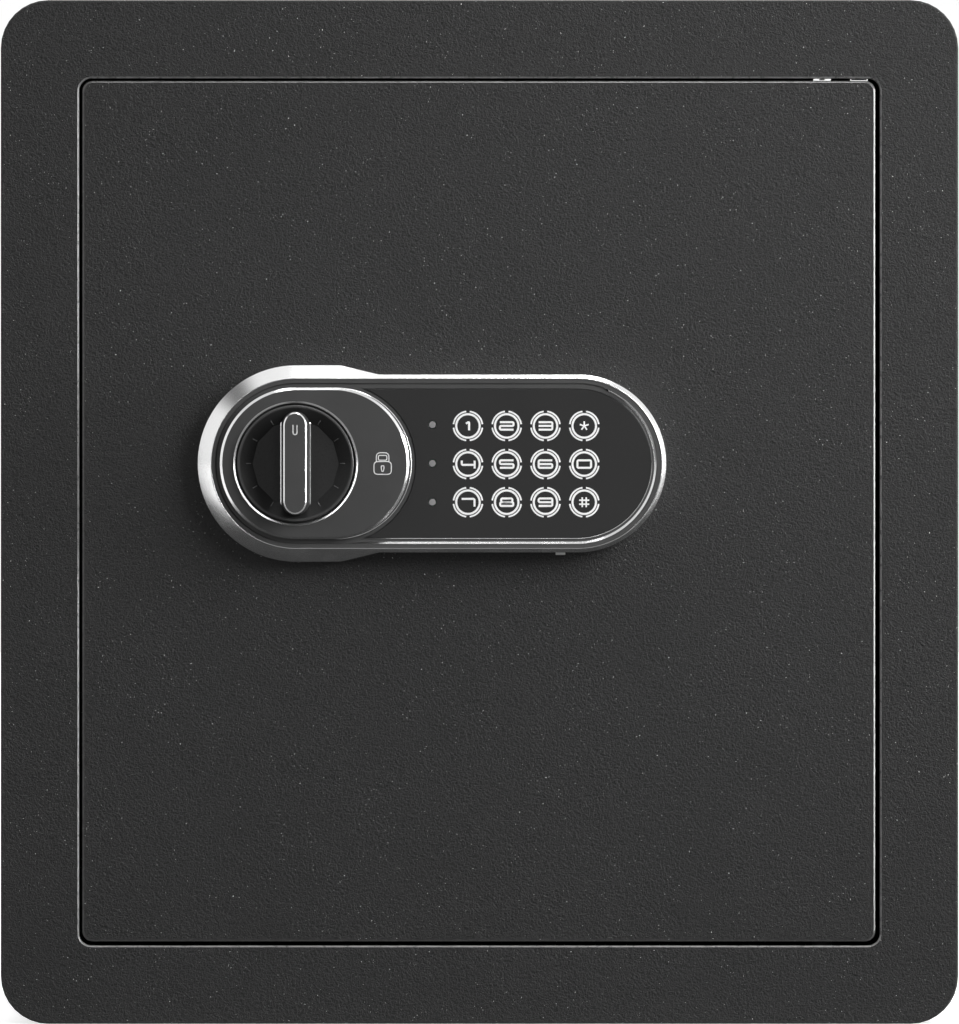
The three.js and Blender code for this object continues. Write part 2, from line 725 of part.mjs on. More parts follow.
// Chrome bezel, dark face, black lens, thin chrome trim, board and lights.
function addPanel() {
  const lobe = PANEL_RADIUS + LOBE_BEVEL;
  const keypad = PANEL_RADIUS + KEYPAD_BEVEL;
  const bezel = banded(
    [
      panelOutline(lobe, keypad, 0),
      panelOutline(lobe, keypad, -BEZEL_WALL),
      panelOutline(PANEL_RADIUS, PANEL_RADIUS, -BEZEL_PROUD),
      panelOutline(PANEL_RADIUS, PANEL_RADIUS, 0),
    ],
    true,
  );
  add("lock_bezel", bezel, CHROME);

  const faceOutline = stadium(lockX, keypadX, lockZ, PANEL_RADIUS - FIT_GAP);
  const lightHeights = [-1, 0, 1].map((row) => lockZ + row * KEY_PITCH);
  const lightX = lockX + LIGHT_OFFSET;
  const boardLeft = lockX + BOARD_OFFSET - BOARD_LENGTH / 2;
  const boardRight = boardLeft + BOARD_LENGTH;
  const standoffs = [];
  for (const x of [boardLeft + 2 * STANDOFF_RADIUS, boardRight - 2 * STANDOFF_RADIUS]) {
    for (const side of [-1, 1]) {
      const z = lockZ + side * (BOARD_HEIGHT / 2 - 2 * STANDOFF_RADIUS);
      standoffs.push(rodY(STANDOFF_RADIUS, faceBack - 1, boardFront, x, z));
    }
  }
  const bossPlaces = [lockX + BOSS_LEFT_OFFSET, keypadX + BOSS_RIGHT_OFFSET];
  const bosses = bossPlaces.map((x) => rodY(BOSS_RADIUS, faceBack - 1, 0, x, lockZ));
  const pilots = bossPlaces.map((x) => rodY(SCREW_RADIUS + FIT_GAP, faceBack, 1, x, lockZ));
  const pegHoles = [-1, 1].map((side) =>
    rodY(PEG_RADIUS + FIT_GAP, -FACE_PROUD - 1, faceBack + 1, lockX + PEG_SIDE, lockZ + side * PEG_RISE),
  );
  const faceSolid = join(
    plate(faceOutline, -FACE_PROUD, faceBack, OVAL_STEPS),
    ...standoffs,
    ...bosses,
  );
  const lightHoles = lightHeights.map((z) =>
    rodY(LIGHT_RADIUS + FIT_GAP, -LENS_PROUD - 1, faceBack + 1, lightX, z),
  );
  const lensBack = -LENS_PROUD + LENS_SHEET;
  const face = cut(
    faceSolid,
    lensSolid(FIT_GAP, -FACE_PROUD - 1, lensBack),
    rodY(SPINDLE_RADIUS + 1, -FACE_PROUD - 1, faceBack + 1, lockX, lockZ),
    rodY(CYLINDER_RADIUS + FIT_GAP, -FACE_PROUD - 1, faceBack + 1, keyX, lockZ),
    ...pegHoles,
    ...lightHoles,
    ...pilots,
  );
  add("panel_face", face, DARK_PLASTIC);
  bossPlaces.forEach((x, i) => {
    const length = DOOR_PLATE + SCREW_LENGTH;
    add(`panel_screw_${i + 1}`, screw(x, lockZ, DOOR_PLATE, length), ZINC_STEEL);
  });

  add("keypad_lens", cut(lensSolid(0, -LENS_PROUD, lensBack), ...lightHoles), LENS_BLACK);
  lightHeights.forEach((z, i) => {
    const light = rodY(LIGHT_RADIUS, -LENS_PROUD, boardFront, lightX, z);
    add(`indicator_light_${i + 1}`, light, LIGHT_GREY);
  });

  const trimOuter = stadium(lockX, keypadX, lockZ, TRIM_RADIUS);
  const trimInner = stadium(lockX, keypadX, lockZ, TRIM_RADIUS - TRIM_WIDTH);
  const trimCut = block(
    lockX - 2 * PANEL_RADIUS,
    lockX + TRIM_START,
    -TRIM_PROUD - 1,
    1,
    lockZ - 2 * PANEL_RADIUS,
    lockZ + 2 * PANEL_RADIUS,
  );
  const trim = cut(
    plate(trimOuter, -TRIM_PROUD, -FACE_PROUD, OVAL_STEPS),
    plate(trimInner, -TRIM_PROUD - 1, 1 - FACE_PROUD, OVAL_STEPS),
    trimCut,
  );
  add("keypad_trim", trim, CHROME);

  const halfBoard = BOARD_HEIGHT / 2;
  const board = block(boardLeft, boardRight, boardFront, boardRear, lockZ - halfBoard, lockZ + halfBoard);
  add("keypad_board", board, BOARD_GREEN);

  const portX = lockX + PORT_OFFSET;
  const portTop = lockZ - keypad;
  const portFront = -BEZEL_WALL / 2 - PORT_DEPTH / 2;
  const halfPort = PORT_WIDTH / 2;
  const port = block(
    portX - halfPort,
    portX + halfPort,
    portFront,
    portFront + PORT_DEPTH,
    portTop - PORT_HEIGHT,
    portTop,
  );
  add("power_port_cover", port, LIGHT_GREY);
}

// Oval cover that hides the emergency lock. It snaps on by two pegs and pulls straight off.
function addCover() {
  const outline = stadium(lockX, coverEndX, lockZ, COVER_RADIUS);
  const oval = chamferedPlate(outline, -COVER_PROUD, -FACE_PROUD, COVER_CHAMFER, OVAL_STEPS);
  const rounded = join(oval, plate(outline, -COVER_PROUD + COVER_CHAMFER, -FACE_PROUD, OVAL_STEPS));
  const pegs = [-1, 1].map((side) =>
    rodY(PEG_RADIUS, -FACE_PROUD - 1, -FACE_PROUD + PEG_LENGTH, lockX + PEG_SIDE, lockZ + side * PEG_RISE),
  );
  const flare = [
    [0, -COVER_PROUD - 1],
    [COVER_HOLE_RADIUS + COVER_HOLE_CHAMFER + 1, -COVER_PROUD - 1],
    [COVER_HOLE_RADIUS, -COVER_PROUD + COVER_HOLE_CHAMFER],
    [COVER_HOLE_RADIUS, -FACE_PROUD + 1],
    [0, -FACE_PROUD + 1],
  ];
  const cover = cut(join(rounded, ...pegs), turned(flare, lockX, lockZ, FINE_STEPS));
  add("lock_cover", cover, SATIN_GREY);
}

function stadiumLoop(width, length, y) {
  const radius = width / 2;
  const reach = length / 2 - radius;
  const points = [];
  const steps = OVAL_STEPS;
  for (const [centre, start] of [[reach, 0], [-reach, Math.PI]]) {
    for (let i = 0; i <= steps; i += 1) {
      const angle = start + (Math.PI * i) / steps;
      points.push([lockX + radius * Math.cos(angle), y, lockZ + centre + radius * Math.sin(angle)]);
    }
  }
  return points;
}

// Knob with a twelve-sided dish and a tapered grip bar, on a spindle that turns a cam.
function addKnob() {
  const base = -FACE_PROUD - FIT_GAP;
  const floor = -KNOB_RIM_PROUD + DISH_DEPTH;
  const disc = turned(
    [
      [0, -KNOB_RIM_PROUD],
      [KNOB_RADIUS - KNOB_RIM_CHAMFER, -KNOB_RIM_PROUD],
      [KNOB_RADIUS, -KNOB_RIM_PROUD + KNOB_RIM_CHAMFER],
      [KNOB_RADIUS, base],
      [0, base],
    ],
    lockX,
    lockZ,
    FINE_STEPS,
  );
  const slope = (DISH_RADIUS - DISH_FLOOR_RADIUS) / DISH_DEPTH;
  const mouth = DISH_RADIUS + slope;
  const dish = new THREE.CylinderGeometry(DISH_FLOOR_RADIUS, mouth, DISH_DEPTH + 1, DISH_SIDES);
  dish.translate(lockX, floor - (DISH_DEPTH + 1) / 2, lockZ);
  const grip = banded(
    [
      stadiumLoop(GRIP_FOOT_WIDTH, GRIP_FOOT_LENGTH, floor + 0.5),
      stadiumLoop(GRIP_FOOT_WIDTH, GRIP_FOOT_LENGTH, floor),
      stadiumLoop(GRIP_WIDTH, GRIP_LENGTH, -GRIP_PROUD + GRIP_CHAMFER),
      stadiumLoop(GRIP_WIDTH - 2 * GRIP_CHAMFER, GRIP_LENGTH - 2 * GRIP_CHAMFER, -GRIP_PROUD),
    ],
    false,
  );
  const half = POINTER_WIDTH / 2;
  const pointerZ = lockZ + POINTER_RISE;
  const pointer = roundedRectangle(
    lockX - half,
    lockX + half,
    pointerZ - POINTER_LENGTH / 2,
    pointerZ + POINTER_LENGTH / 2,
    half * 0.98,
  );
  const spindleFront = base - SPINDLE_GRIP;
  const bore = rodY(SPINDLE_RADIUS + FIT_GAP, spindleFront - FIT_GAP, base + 1, lockX, lockZ);
  const slot = plate(pointer, -GRIP_PROUD - 1, -GRIP_PROUD + POINTER_DEPTH);
  add("knob", cut(join(cut(disc, dish), grip), bore, slot), SATIN_GREY);

  const spindleRear = camRear - FIT_GAP;
  add("knob_spindle", rodY(SPINDLE_RADIUS, spindleFront, spindleRear, lockX, lockZ), ZINC_STEEL);

  const hole = SPINDLE_RADIUS + RUNNING_GAP;
  const flangeRear = DOOR_PLATE + BUSHING_FLANGE;
  const bushing = [
    [hole, FIT_GAP],
    [BUSHING_RADIUS, FIT_GAP],
    [BUSHING_RADIUS, DOOR_PLATE],
    [BUSHING_FLANGE_RADIUS, DOOR_PLATE],
    [BUSHING_FLANGE_RADIUS, flangeRear],
    [hole, flangeRear],
  ];
  add("spindle_bushing", turned(bushing, lockX, lockZ), BRASS);
  const clipFront = flangeRear + FIT_GAP;
  const clip = [
    [hole, clipFront],
    [CLIP_RADIUS, clipFront],
    [CLIP_RADIUS, clipFront + CLIP_SHEET],
    [hole, clipFront + CLIP_SHEET],
  ];
  add("spindle_clip", turned(clip, lockX, lockZ), ZINC_STEEL);

  const pinX = lockX + pinOffset;
  const pinZ = lockZ - pinOffset;
  const hub = rodY(CAM_HUB_RADIUS, camFront, camRear, lockX, lockZ);
  const lobe = rodY(CAM_PIN_RADIUS * 1.7, camFront, camRear, pinX, pinZ);
  const pin = rodY(CAM_PIN_RADIUS, camRear - 1, webRear + 1.5, pinX, pinZ);
  const cam = cut(join(hub, lobe, pin), rodY(hole, camFront - 1, spindleRear, lockX, lockZ));
  add("knob_cam", cam, ZINC_STEEL);
}

function boltHeights() {
  return [lockZ + BOLT_SPACING / 2, lockZ - BOLT_SPACING / 2];
}

// Two bolts on one carriage that slides on studs. The knob's cam pin works in a slot of its arm.
function addBoltWork() {
  const heights = boltHeights();
  const top = heights[0] + CARRIAGE_END;
  const bottom = heights[1] - CARRIAGE_END;
  const flangeRight = carriageLeft + CARRIAGE_SHEET;
  const webRight = carriageLeft + CARRIAGE_WIDTH;
  const notchLast = keyX + BOLT_THROW;
  const armRight = notchLast + notchHalf + PLUNGER_RADIUS;
  const flange = block(carriageLeft, flangeRight, boltDepth - BOLT_RADIUS, webRear, bottom, top);
  const web = block(carriageLeft, webRight, webFront, webRear, bottom, top);
  const arm = block(webRight - 1, armRight, webFront, webRear, armBottom, lockZ + ARM_RISE);
  const slotHalf = CAM_PIN_RADIUS + CAM_BOW + FIT_GAP;
  const pinReach = pinOffset * Math.SQRT2;
  const slotX = lockX + pinOffset;
  const slot = block(
    slotX - slotHalf,
    slotX + slotHalf,
    webFront - 1,
    webRear + 1,
    lockZ - pinReach - CAM_PIN_RADIUS - FIT_GAP,
    lockZ - pinOffset + CAM_PIN_RADIUS + FIT_GAP,
  );
  const notches = [keyX, notchLast].map((x) =>
    block(
      x - notchHalf,
      x + notchHalf,
      webFront - 1,
      webRear + 1,
      armBottom - 1,
      plungerTip + PLUNGER_STROKE + FIT_GAP,
    ),
  );
  const studX = carriageLeft + STUD_INSET;
  const studHalf = STUD_RADIUS + FIT_GAP;
  const studSlots = studHeights().map((z) =>
    block(
      studX - studHalf,
      studX + BOLT_THROW + studHalf,
      webFront - 1,
      webRear + 1,
      z - studHalf,
      z + studHalf,
    ),
  );
  const spigotHoles = heights.map((z) =>
    rodX(SPIGOT_RADIUS + FIT_GAP, carriageLeft - 1, flangeRight + 1, boltDepth, z),
  );
  const carriage = cut(join(flange, web, arm), slot, ...notches, ...studSlots, ...spigotHoles);
  add("bolt_carriage", carriage, ZINC_STEEL);

  const bolt = [
    [0, boltTip],
    [BOLT_RADIUS - BOLT_CHAMFER, boltTip],
    [BOLT_RADIUS, boltTip + BOLT_CHAMFER],
    [BOLT_RADIUS, carriageLeft],
    [SPIGOT_RADIUS, carriageLeft],
    [SPIGOT_RADIUS, flangeRight + SPIGOT_PROUD],
    [0, flangeRight + SPIGOT_PROUD],
  ];
  add("locking_bolt_upper", turnedX(bolt, boltDepth, heights[0]), ZINC_STEEL);
  add("locking_bolt_lower", turnedX(bolt, boltDepth, heights[1]), ZINC_STEEL);

  const neckFront = webFront - FIT_GAP;
  const neckRear = webRear + FIT_GAP;
  const stud = [
    [0, DOOR_PLATE],
    [STUD_SHOULDER_RADIUS, DOOR_PLATE],
    [STUD_SHOULDER_RADIUS, neckFront],
    [STUD_RADIUS, neckFront],
    [STUD_RADIUS, neckRear],
    [STUD_HEAD_RADIUS, neckRear],
    [STUD_HEAD_RADIUS, neckRear + STUD_HEAD],
    [0, neckRear + STUD_HEAD],
  ];
  studHeights().forEach((z, i) => add(`guide_stud_${i + 1}`, turned(stud, studX, z), ZINC_STEEL));
}

function studHeights() {
  return [lockZ + STUD_SPACING / 2, lockZ - STUD_SPACING / 2];
}

// Solenoid whose plunger blocks the carriage, and the key lock whose cam can pull it down.
function addLockWork() {
  const half = SOLENOID_WIDTH / 2;
  const front = plungerDepth - SOLENOID_DEPTH / 2;
  const rear = plungerDepth + SOLENOID_DEPTH / 2;
  const bottom = solenoidTop - SOLENOID_HEIGHT;
  const bottomEnd = plungerTip - PLUNGER_LENGTH;
  const bore = rodZ(PLUNGER_RADIUS + RUNNING_GAP, bottomEnd - 1, solenoidTop + 1, keyX, plungerDepth);
  const coil = block(keyX - half, keyX + half, front, rear, bottom, solenoidTop);
  add("solenoid_body", cut(coil, bore), DARK_PLASTIC);

  const rod = rodZ(PLUNGER_RADIUS, bottomEnd, plungerTip, keyX, plungerDepth);
  const tab = block(
    keyX - PLUNGER_RADIUS,
    keyX + PLUNGER_RADIUS,
    keyCamFront,
    plungerDepth,
    tabBottom,
    tabTop,
  );
  add("solenoid_plunger", join(rod, tab), ZINC_STEEL);

  const wing = half + BRACKET_FLANGE;
  const hatTop = block(keyX - half, keyX + half, front - BRACKET_SHEET, front, bottom, solenoidTop);
  const footRear = DOOR_PLATE + BRACKET_SHEET;
  const hatFoot = block(keyX - wing, keyX + wing, DOOR_PLATE, footRear, bottom, solenoidTop);
  const walls = [-1, 1].map((side) => {
    const x = keyX + side * (half - BRACKET_SHEET / 2);
    return block(x - BRACKET_SHEET / 2, x + BRACKET_SHEET / 2, DOOR_PLATE, front, bottom, solenoidTop);
  });
  add("solenoid_bracket", join(hatTop, hatFoot, ...walls), ZINC_STEEL);

  const boreRadius = KEY_PLUG_RADIUS + RUNNING_GAP;
  const cylinder = [
    [boreRadius, -FACE_PROUD + FIT_GAP],
    [CYLINDER_RADIUS, -FACE_PROUD + FIT_GAP],
    [CYLINDER_RADIUS, -CYLINDER_FLANGE],
    [CYLINDER_FLANGE_RADIUS, -CYLINDER_FLANGE],
    [CYLINDER_FLANGE_RADIUS, 0],
    [CYLINDER_RADIUS, 0],
    [CYLINDER_RADIUS, CYLINDER_REAR],
    [boreRadius, CYLINDER_REAR],
  ];
  add("key_cylinder", turned(cylinder, keyX, lockZ), ZINC_STEEL);

  const plugFront = -FACE_PROUD + FIT_GAP;
  const plug = [
    [0, plugFront],
    [KEY_PLUG_RADIUS, plugFront],
    [KEY_PLUG_RADIUS, CYLINDER_REAR],
    [KEY_TAIL_RADIUS, CYLINDER_REAR],
    [KEY_TAIL_RADIUS, keyCamRear + 1],
    [0, keyCamRear + 1],
  ];
  const keyway = block(
    keyX - KEYWAY_WIDTH / 2,
    keyX + KEYWAY_WIDTH / 2,
    plugFront - 1,
    plugFront + KEYWAY_DEPTH,
    lockZ - KEYWAY_HEIGHT / 2,
    lockZ + KEYWAY_HEIGHT / 2,
  );
  add("key_plug", cut(turned(plug, keyX, lockZ), keyway), BRASS);

  const reach = lockZ - tabTop - FIT_GAP - KEY_CAM_TIP_RADIUS;
  const lever = join(
    rodY(KEY_CAM_HUB_RADIUS, keyCamFront, keyCamRear, keyX, lockZ),
    block(
      keyX,
      keyX + reach,
      keyCamFront,
      keyCamRear,
      lockZ - KEY_CAM_TIP_RADIUS,
      lockZ + KEY_CAM_TIP_RADIUS,
    ),
    rodY(KEY_CAM_TIP_RADIUS, keyCamFront, keyCamRear, keyX + reach, lockZ),
  );
  const tailHole = rodY(KEY_TAIL_RADIUS + FIT_GAP, keyCamFront - 1, keyCamRear + 1, keyX, lockZ);
  add("key_cam", cut(lever, tailHole), ZINC_STEEL);
}

// Outer size of the battery box, which reaches through the back cover.
function batteryBox() {
  const pitch = 2 * (BATTERY_RADIUS + FIT_GAP);
  const innerWidth = BATTERY_COUNT * pitch;
  const innerHeight = BATTERY_LENGTH + 4 * FIT_GAP;
  const innerDepth = pitch + FIT_GAP;
  const half = innerWidth / 2 + BATTERY_BOX_WALL;
  const centreZ = lockZ - BATTERY_DROP;
  const halfHeight = innerHeight / 2 + BATTERY_BOX_WALL;
  return {
    pitch,
    centreZ,
    left: BATTERY_CENTRE_X - half,
    right: BATTERY_CENTRE_X + half,
    bottom: centreZ - halfHeight,
    top: centreZ + halfHeight,
    innerFront: backFace - innerDepth,
    rim: backFace + BATTERY_BOX_RIM,
  };
}

// Control box, battery box with four cells and its hinged lid, and the reset button.
function addElectronics() {
  const controlX = lockX + CONTROL_OFFSET;
  const control = roundedRectangle(
    controlX - CONTROL_WIDTH / 2,
    controlX + CONTROL_WIDTH / 2,
    lockZ - CONTROL_HEIGHT / 2,
    lockZ + CONTROL_HEIGHT / 2,
    PAN_CORNER,
  );
  const controlRear = DOOR_PLATE + CONTROL_DEPTH;
  add("control_box", chamferedPlate(control, DOOR_PLATE, controlRear, EDGE_BREAK), DARK_PLASTIC);
  const ribbon = block(
    controlX - RIBBON_WIDTH / 2,
    controlX + RIBBON_WIDTH / 2,
    boardRear,
    DOOR_PLATE,
    lockZ - RIBBON_THICKNESS / 2,
    lockZ + RIBBON_THICKNESS / 2,
  );
  add("ribbon_cable", ribbon, LIGHT_GREY);

  const box = batteryBox();
  const wall = BATTERY_BOX_WALL;
  const edge = BATTERY_BOX_FLANGE;
  const rimLeft = box.left - edge;
  const rimRight = box.right + edge;
  const rimTop = box.top + edge;
  const shell = block(box.left, box.right, box.innerFront - wall, box.rim, box.bottom, box.top);
  const rim = block(rimLeft, rimRight, backFace, box.rim, box.bottom - edge, rimTop);
  const inside = block(
    box.left + wall,
    box.right - wall,
    box.innerFront,
    box.rim + 1,
    box.bottom + wall,
    box.top - wall,
  );
  const lidFront = box.rim + FIT_GAP;
  const lidRear = lidFront + LID_SHEET;
  const lidAxisY = (lidFront + lidRear) / 2;
  const lidAxisZ = box.bottom - edge + LID_SHEET;
  const lidLeft = rimLeft + LID_EAR + FIT_GAP;
  const lidRight = rimRight - LID_EAR - FIT_GAP;
  const earRadius = LID_SHEET / 2 + FIT_GAP;
  const earTop = lidAxisZ + earRadius + LID_SHEET;
  const ears = [rimLeft, rimRight - LID_EAR].map((x) =>
    block(x, x + LID_EAR, backFace, lidRear + FIT_GAP, lidAxisZ - LID_SHEET, earTop),
  );
  const pinHole = LID_PIN_RADIUS + RUNNING_GAP;
  const axle = rodX(pinHole, rimLeft - 1, rimRight + 1, lidAxisY, lidAxisZ);
  add("battery_box", cut(join(shell, rim, ...ears), inside, axle), DARK_PLASTIC);

  for (let i = 0; i < BATTERY_COUNT; i += 1) {
    const x = box.left + wall + box.pitch * (i + 0.5);
    const y = box.innerFront + FIT_GAP + BATTERY_RADIUS;
    const low = box.centreZ - BATTERY_LENGTH / 2;
    const up = i % 2 === 0;
    const along = (distance) => (up ? low + distance : low + BATTERY_LENGTH - distance);
    const cell = [
      [0, along(0)],
      [BATTERY_RADIUS, along(0)],
      [BATTERY_RADIUS, along(BATTERY_LENGTH - 1)],
      [BATTERY_RADIUS * 0.4, along(BATTERY_LENGTH - 1)],
      [BATTERY_RADIUS * 0.4, along(BATTERY_LENGTH)],
      [0, along(BATTERY_LENGTH)],
    ];
    add(`battery_${i + 1}`, turnedZ(cell, x, y), CELL_WRAP);
  }

  const lidPlate = block(lidLeft, lidRight, lidFront, lidRear, lidAxisZ, rimTop);
  const roll = rodX(LID_SHEET / 2, lidLeft, lidRight, lidAxisY, lidAxisZ);
  const trunnion = rodX(
    LID_PIN_RADIUS,
    lidLeft - LID_EAR + FIT_GAP,
    lidRight + LID_EAR - FIT_GAP,
    lidAxisY,
    lidAxisZ,
  );
  add("battery_lid", join(lidPlate, roll, trunnion), DARK_PLASTIC);

  const resetHalf = RESET_HOUSING / 2;
  const resetBore = RESET_RADIUS + RUNNING_GAP;
  const housing = block(
    resetX - resetHalf,
    resetX + resetHalf,
    panRear - RESET_HOUSING_DEPTH,
    panRear,
    lockZ - resetHalf,
    lockZ + resetHalf,
  );
  const button = rodY(
    RESET_RADIUS,
    backFace + RESET_PROUD - RESET_LENGTH,
    backFace + RESET_PROUD,
    resetX,
    lockZ,
  );
  const buttonWell = rodY(
    resetBore,
    backFace - RESET_LENGTH - FIT_GAP,
    panRear + 1,
    resetX,
    lockZ,
  );
  add("reset_housing", cut(housing, buttonWell), DARK_PLASTIC);
  add("reset_button", button, { color: 0xb3261e, roughness: 0.4, metalness: 0 });
}

addBody();
addInterior();
addHinges();
addDoor();
addPanel();
addCover();
addKnob();
addBoltWork();
addLockWork();
addElectronics();

export default safe;
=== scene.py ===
"""Dresses the electronic safe: its finishes, printed keys, fine edges and the studio round it."""

import json
from math import cos, pi, radians, sin, sqrt

import bmesh
import bpy
from bpy.props import FloatProperty, FloatVectorProperty, PointerProperty
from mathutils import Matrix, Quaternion, Vector

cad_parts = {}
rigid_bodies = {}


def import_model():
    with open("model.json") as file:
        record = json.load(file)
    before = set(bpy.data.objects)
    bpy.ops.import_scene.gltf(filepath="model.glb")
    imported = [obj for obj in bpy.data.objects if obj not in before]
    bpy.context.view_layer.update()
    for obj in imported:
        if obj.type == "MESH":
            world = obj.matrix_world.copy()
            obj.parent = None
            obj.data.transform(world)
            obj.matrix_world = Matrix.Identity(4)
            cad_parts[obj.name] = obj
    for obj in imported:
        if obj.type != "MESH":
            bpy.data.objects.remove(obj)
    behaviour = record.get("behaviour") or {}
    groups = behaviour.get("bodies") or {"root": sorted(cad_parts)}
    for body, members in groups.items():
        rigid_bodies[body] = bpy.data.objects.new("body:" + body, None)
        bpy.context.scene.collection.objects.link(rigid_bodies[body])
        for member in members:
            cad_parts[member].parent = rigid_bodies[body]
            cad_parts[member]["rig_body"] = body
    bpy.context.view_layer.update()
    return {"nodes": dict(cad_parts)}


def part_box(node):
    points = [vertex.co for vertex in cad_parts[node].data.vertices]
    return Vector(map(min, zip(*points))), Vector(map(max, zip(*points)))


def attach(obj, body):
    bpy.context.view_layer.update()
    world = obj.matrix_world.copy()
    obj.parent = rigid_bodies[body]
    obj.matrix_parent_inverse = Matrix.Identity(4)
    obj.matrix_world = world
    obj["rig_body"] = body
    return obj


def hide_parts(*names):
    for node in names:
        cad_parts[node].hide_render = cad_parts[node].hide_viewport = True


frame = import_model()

bl_info = {
    "name": "Electronic Safe Dressing",
    "version": (1, 0, 0),
    "blender": (4, 5, 0),
    "location": "View3D > Sidebar > Safe",
    "description": "Finishes, printed keys and studio for the electronic safe",
    "category": "Object",
}

MM = 0.001
TINY = 0.02 * MM
MERGE = 0.002 * MM
QUARTER = pi / 2
ROUND = 128
SHARP = 35  # degrees


def half_height(node):
    """Half of a frame node's height."""
    low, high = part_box(node)
    return (high.z - low.z) / 2


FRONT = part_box("front_frame")[0].y
PANEL_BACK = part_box("door_plate")[0].y
KNOB_LOW, KNOB_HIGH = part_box("knob")
KNOB = (KNOB_LOW + KNOB_HIGH) / 2
LOBE = half_height("lock_bezel")
LENS_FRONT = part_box("keypad_lens")[0].y
COVER_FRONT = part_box("lock_cover")[0].y
GRIP_SINK = 0.05 * MM
GRIP_FACE = KNOB_LOW.y + GRIP_SINK
KEYPAD_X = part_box("keypad_lens")[1].x - half_height("keypad_lens")


COLOUR = {"subtype": "COLOR", "size": 3, "min": 0, "max": 1}


class CoatLook(bpy.types.PropertyGroup):
    """The powder coat of the steel."""

    colour: FloatVectorProperty(
        name="Colour", description="Colour of the powder coat", default=(0.02, 0.02, 0.02), **COLOUR
    )
    wrinkle: FloatProperty(
        name="Wrinkle", description="Width of one wrinkle of the coat", default=0.88 * MM, unit="LENGTH"
    )
    relief: FloatProperty(
        name="Relief", description="Height of the wrinkles", default=0.72 * MM, unit="LENGTH"
    )
    roughness: FloatProperty(
        name="Roughness", description="Roughness of the coat", default=0.5, subtype="FACTOR"
    )


class PanelLook(bpy.types.PropertyGroup):
    """The printed keys of the lock panel."""

    ink: FloatVectorProperty(
        name="Ink", description="Colour of the printed keys", default=(0.9, 0.9, 0.9), **COLOUR
    )
    key_pitch: FloatProperty(
        name="Key pitch", description="Distance between two keys", default=14.53 * MM, unit="LENGTH"
    )
    row_pitch: FloatProperty(
        name="Row pitch", description="Distance between two rows", default=14.3 * MM, unit="LENGTH"
    )
    first_key: FloatProperty(
        name="First key", description="Place of the first column", default=-4.33 * MM, unit="LENGTH"
    )
    key_radius: FloatProperty(
        name="Key radius", description="Radius of a key's inner ring", default=4.4 * MM, unit="LENGTH"
    )
    stroke: FloatProperty(
        name="Stroke", description="Width of a printed stroke", default=0.78 * MM, unit="LENGTH"
    )


class StudioLook(bpy.types.PropertyGroup):
    """The camera, the floor and the lamps."""

    distance: FloatProperty(
        name="Distance", description="Distance from the camera to the safe", default=4.6, unit="LENGTH"
    )
    floor: FloatVectorProperty(
        name="Floor", description="Colour of the floor", default=(0.8, 0.8, 0.8), **COLOUR
    )
    key_power: FloatProperty(
        name="Key lamp", description="Power of the soft lamp at the right", default=3.4, unit="POWER"
    )
    fill_power: FloatProperty(
        name="Fill lamp", description="Power of the wide lamp at the left", default=4.5, unit="POWER"
    )
    strip_power: FloatProperty(
        name="Strip lamps", description="Power of each tall lamp by the camera", default=1.6, unit="POWER"
    )
    edge_power: FloatProperty(
        name="Edge lamps",
        description="Power of the narrow lamp at the right, twice that of the one above",
        default=1,
        unit="POWER",
    )


def rest_all():
    """Leaves edit mode and deselects everything."""
    if bpy.context.object and bpy.context.object.mode != "OBJECT":
        bpy.ops.object.mode_set(mode="OBJECT")
    bpy.ops.object.select_all(action="DESELECT")


def take(piece):
    """Makes one object the selected and active one."""
    rest_all()
    piece.select_set(True)
    bpy.context.view_layer.objects.active = piece


def edit(piece):
    """Opens one object in edit mode."""
    take(piece)
    bpy.ops.object.mode_set(mode="EDIT")


def pick(test, kind="FACE"):
    """Selects the faces, edges or corners in edit mode that pass the test."""
    piece = bpy.context.object
    bpy.ops.mesh.select_mode(type=kind)
    bpy.ops.mesh.select_all(action="DESELECT")
    mesh = bmesh.from_edit_mesh(piece.data)
    parts = {"FACE": mesh.faces, "EDGE": mesh.edges, "VERT": mesh.verts}[kind]
    chosen = [part for part in parts if test(part)]
    if not chosen:
        raise RuntimeError(f"nothing to select on {piece.name}")
    for part in chosen:
        part.select_set(True)
    mesh.select_flush_mode()
    bmesh.update_edit_mesh(piece.data)


def pick_all():
    """Selects the whole mesh in edit mode."""
    bpy.ops.mesh.select_all(action="SELECT")


def lies_at(part, y):
    """Whether a corner, or every corner of an edge or a face, lies at this depth."""
    return all(abs(corner.co.y - y) < TINY for corner in getattr(part, "verts", (part,)))


def extrude(y, z=0):
    """Extrudes the selected region along the depth or the height."""
    bpy.ops.mesh.extrude_region_move(TRANSFORM_OT_translate={"value": (0, y, z)})


def inset(thickness, depth=0.0):
    """Insets the selected region, with its own evened edge."""
    bpy.ops.mesh.inset(thickness=thickness, depth=depth, use_even_offset=True, use_boundary=True)


def shift(x=0, y=0, z=0):
    """Moves the selected region."""
    bpy.ops.transform.translate(value=(x, y, z))


def scale_about(centre, by):
    """Scales the selected region about a point."""
    bpy.ops.transform.resize(value=by, center_override=centre)


def stretch(reach):
    """Moves the right half of a round outline to the right, which makes it an oval."""
    pick(lambda v: v.co.x > KNOB.x, "VERT")
    shift(reach)


def cut_across(x, **how):
    """Cuts the selected region at one place across the front."""
    bpy.ops.mesh.bisect(plane_co=(x, 0, 0), plane_no=(1, 0, 0), **how)


def open_middle():
    """Deletes the selected faces and joins the two loops of edges that are left."""
    bpy.ops.mesh.delete(type="FACE")
    pick(lambda e: e.is_boundary, "EDGE")
    bpy.ops.mesh.bridge_edge_loops()


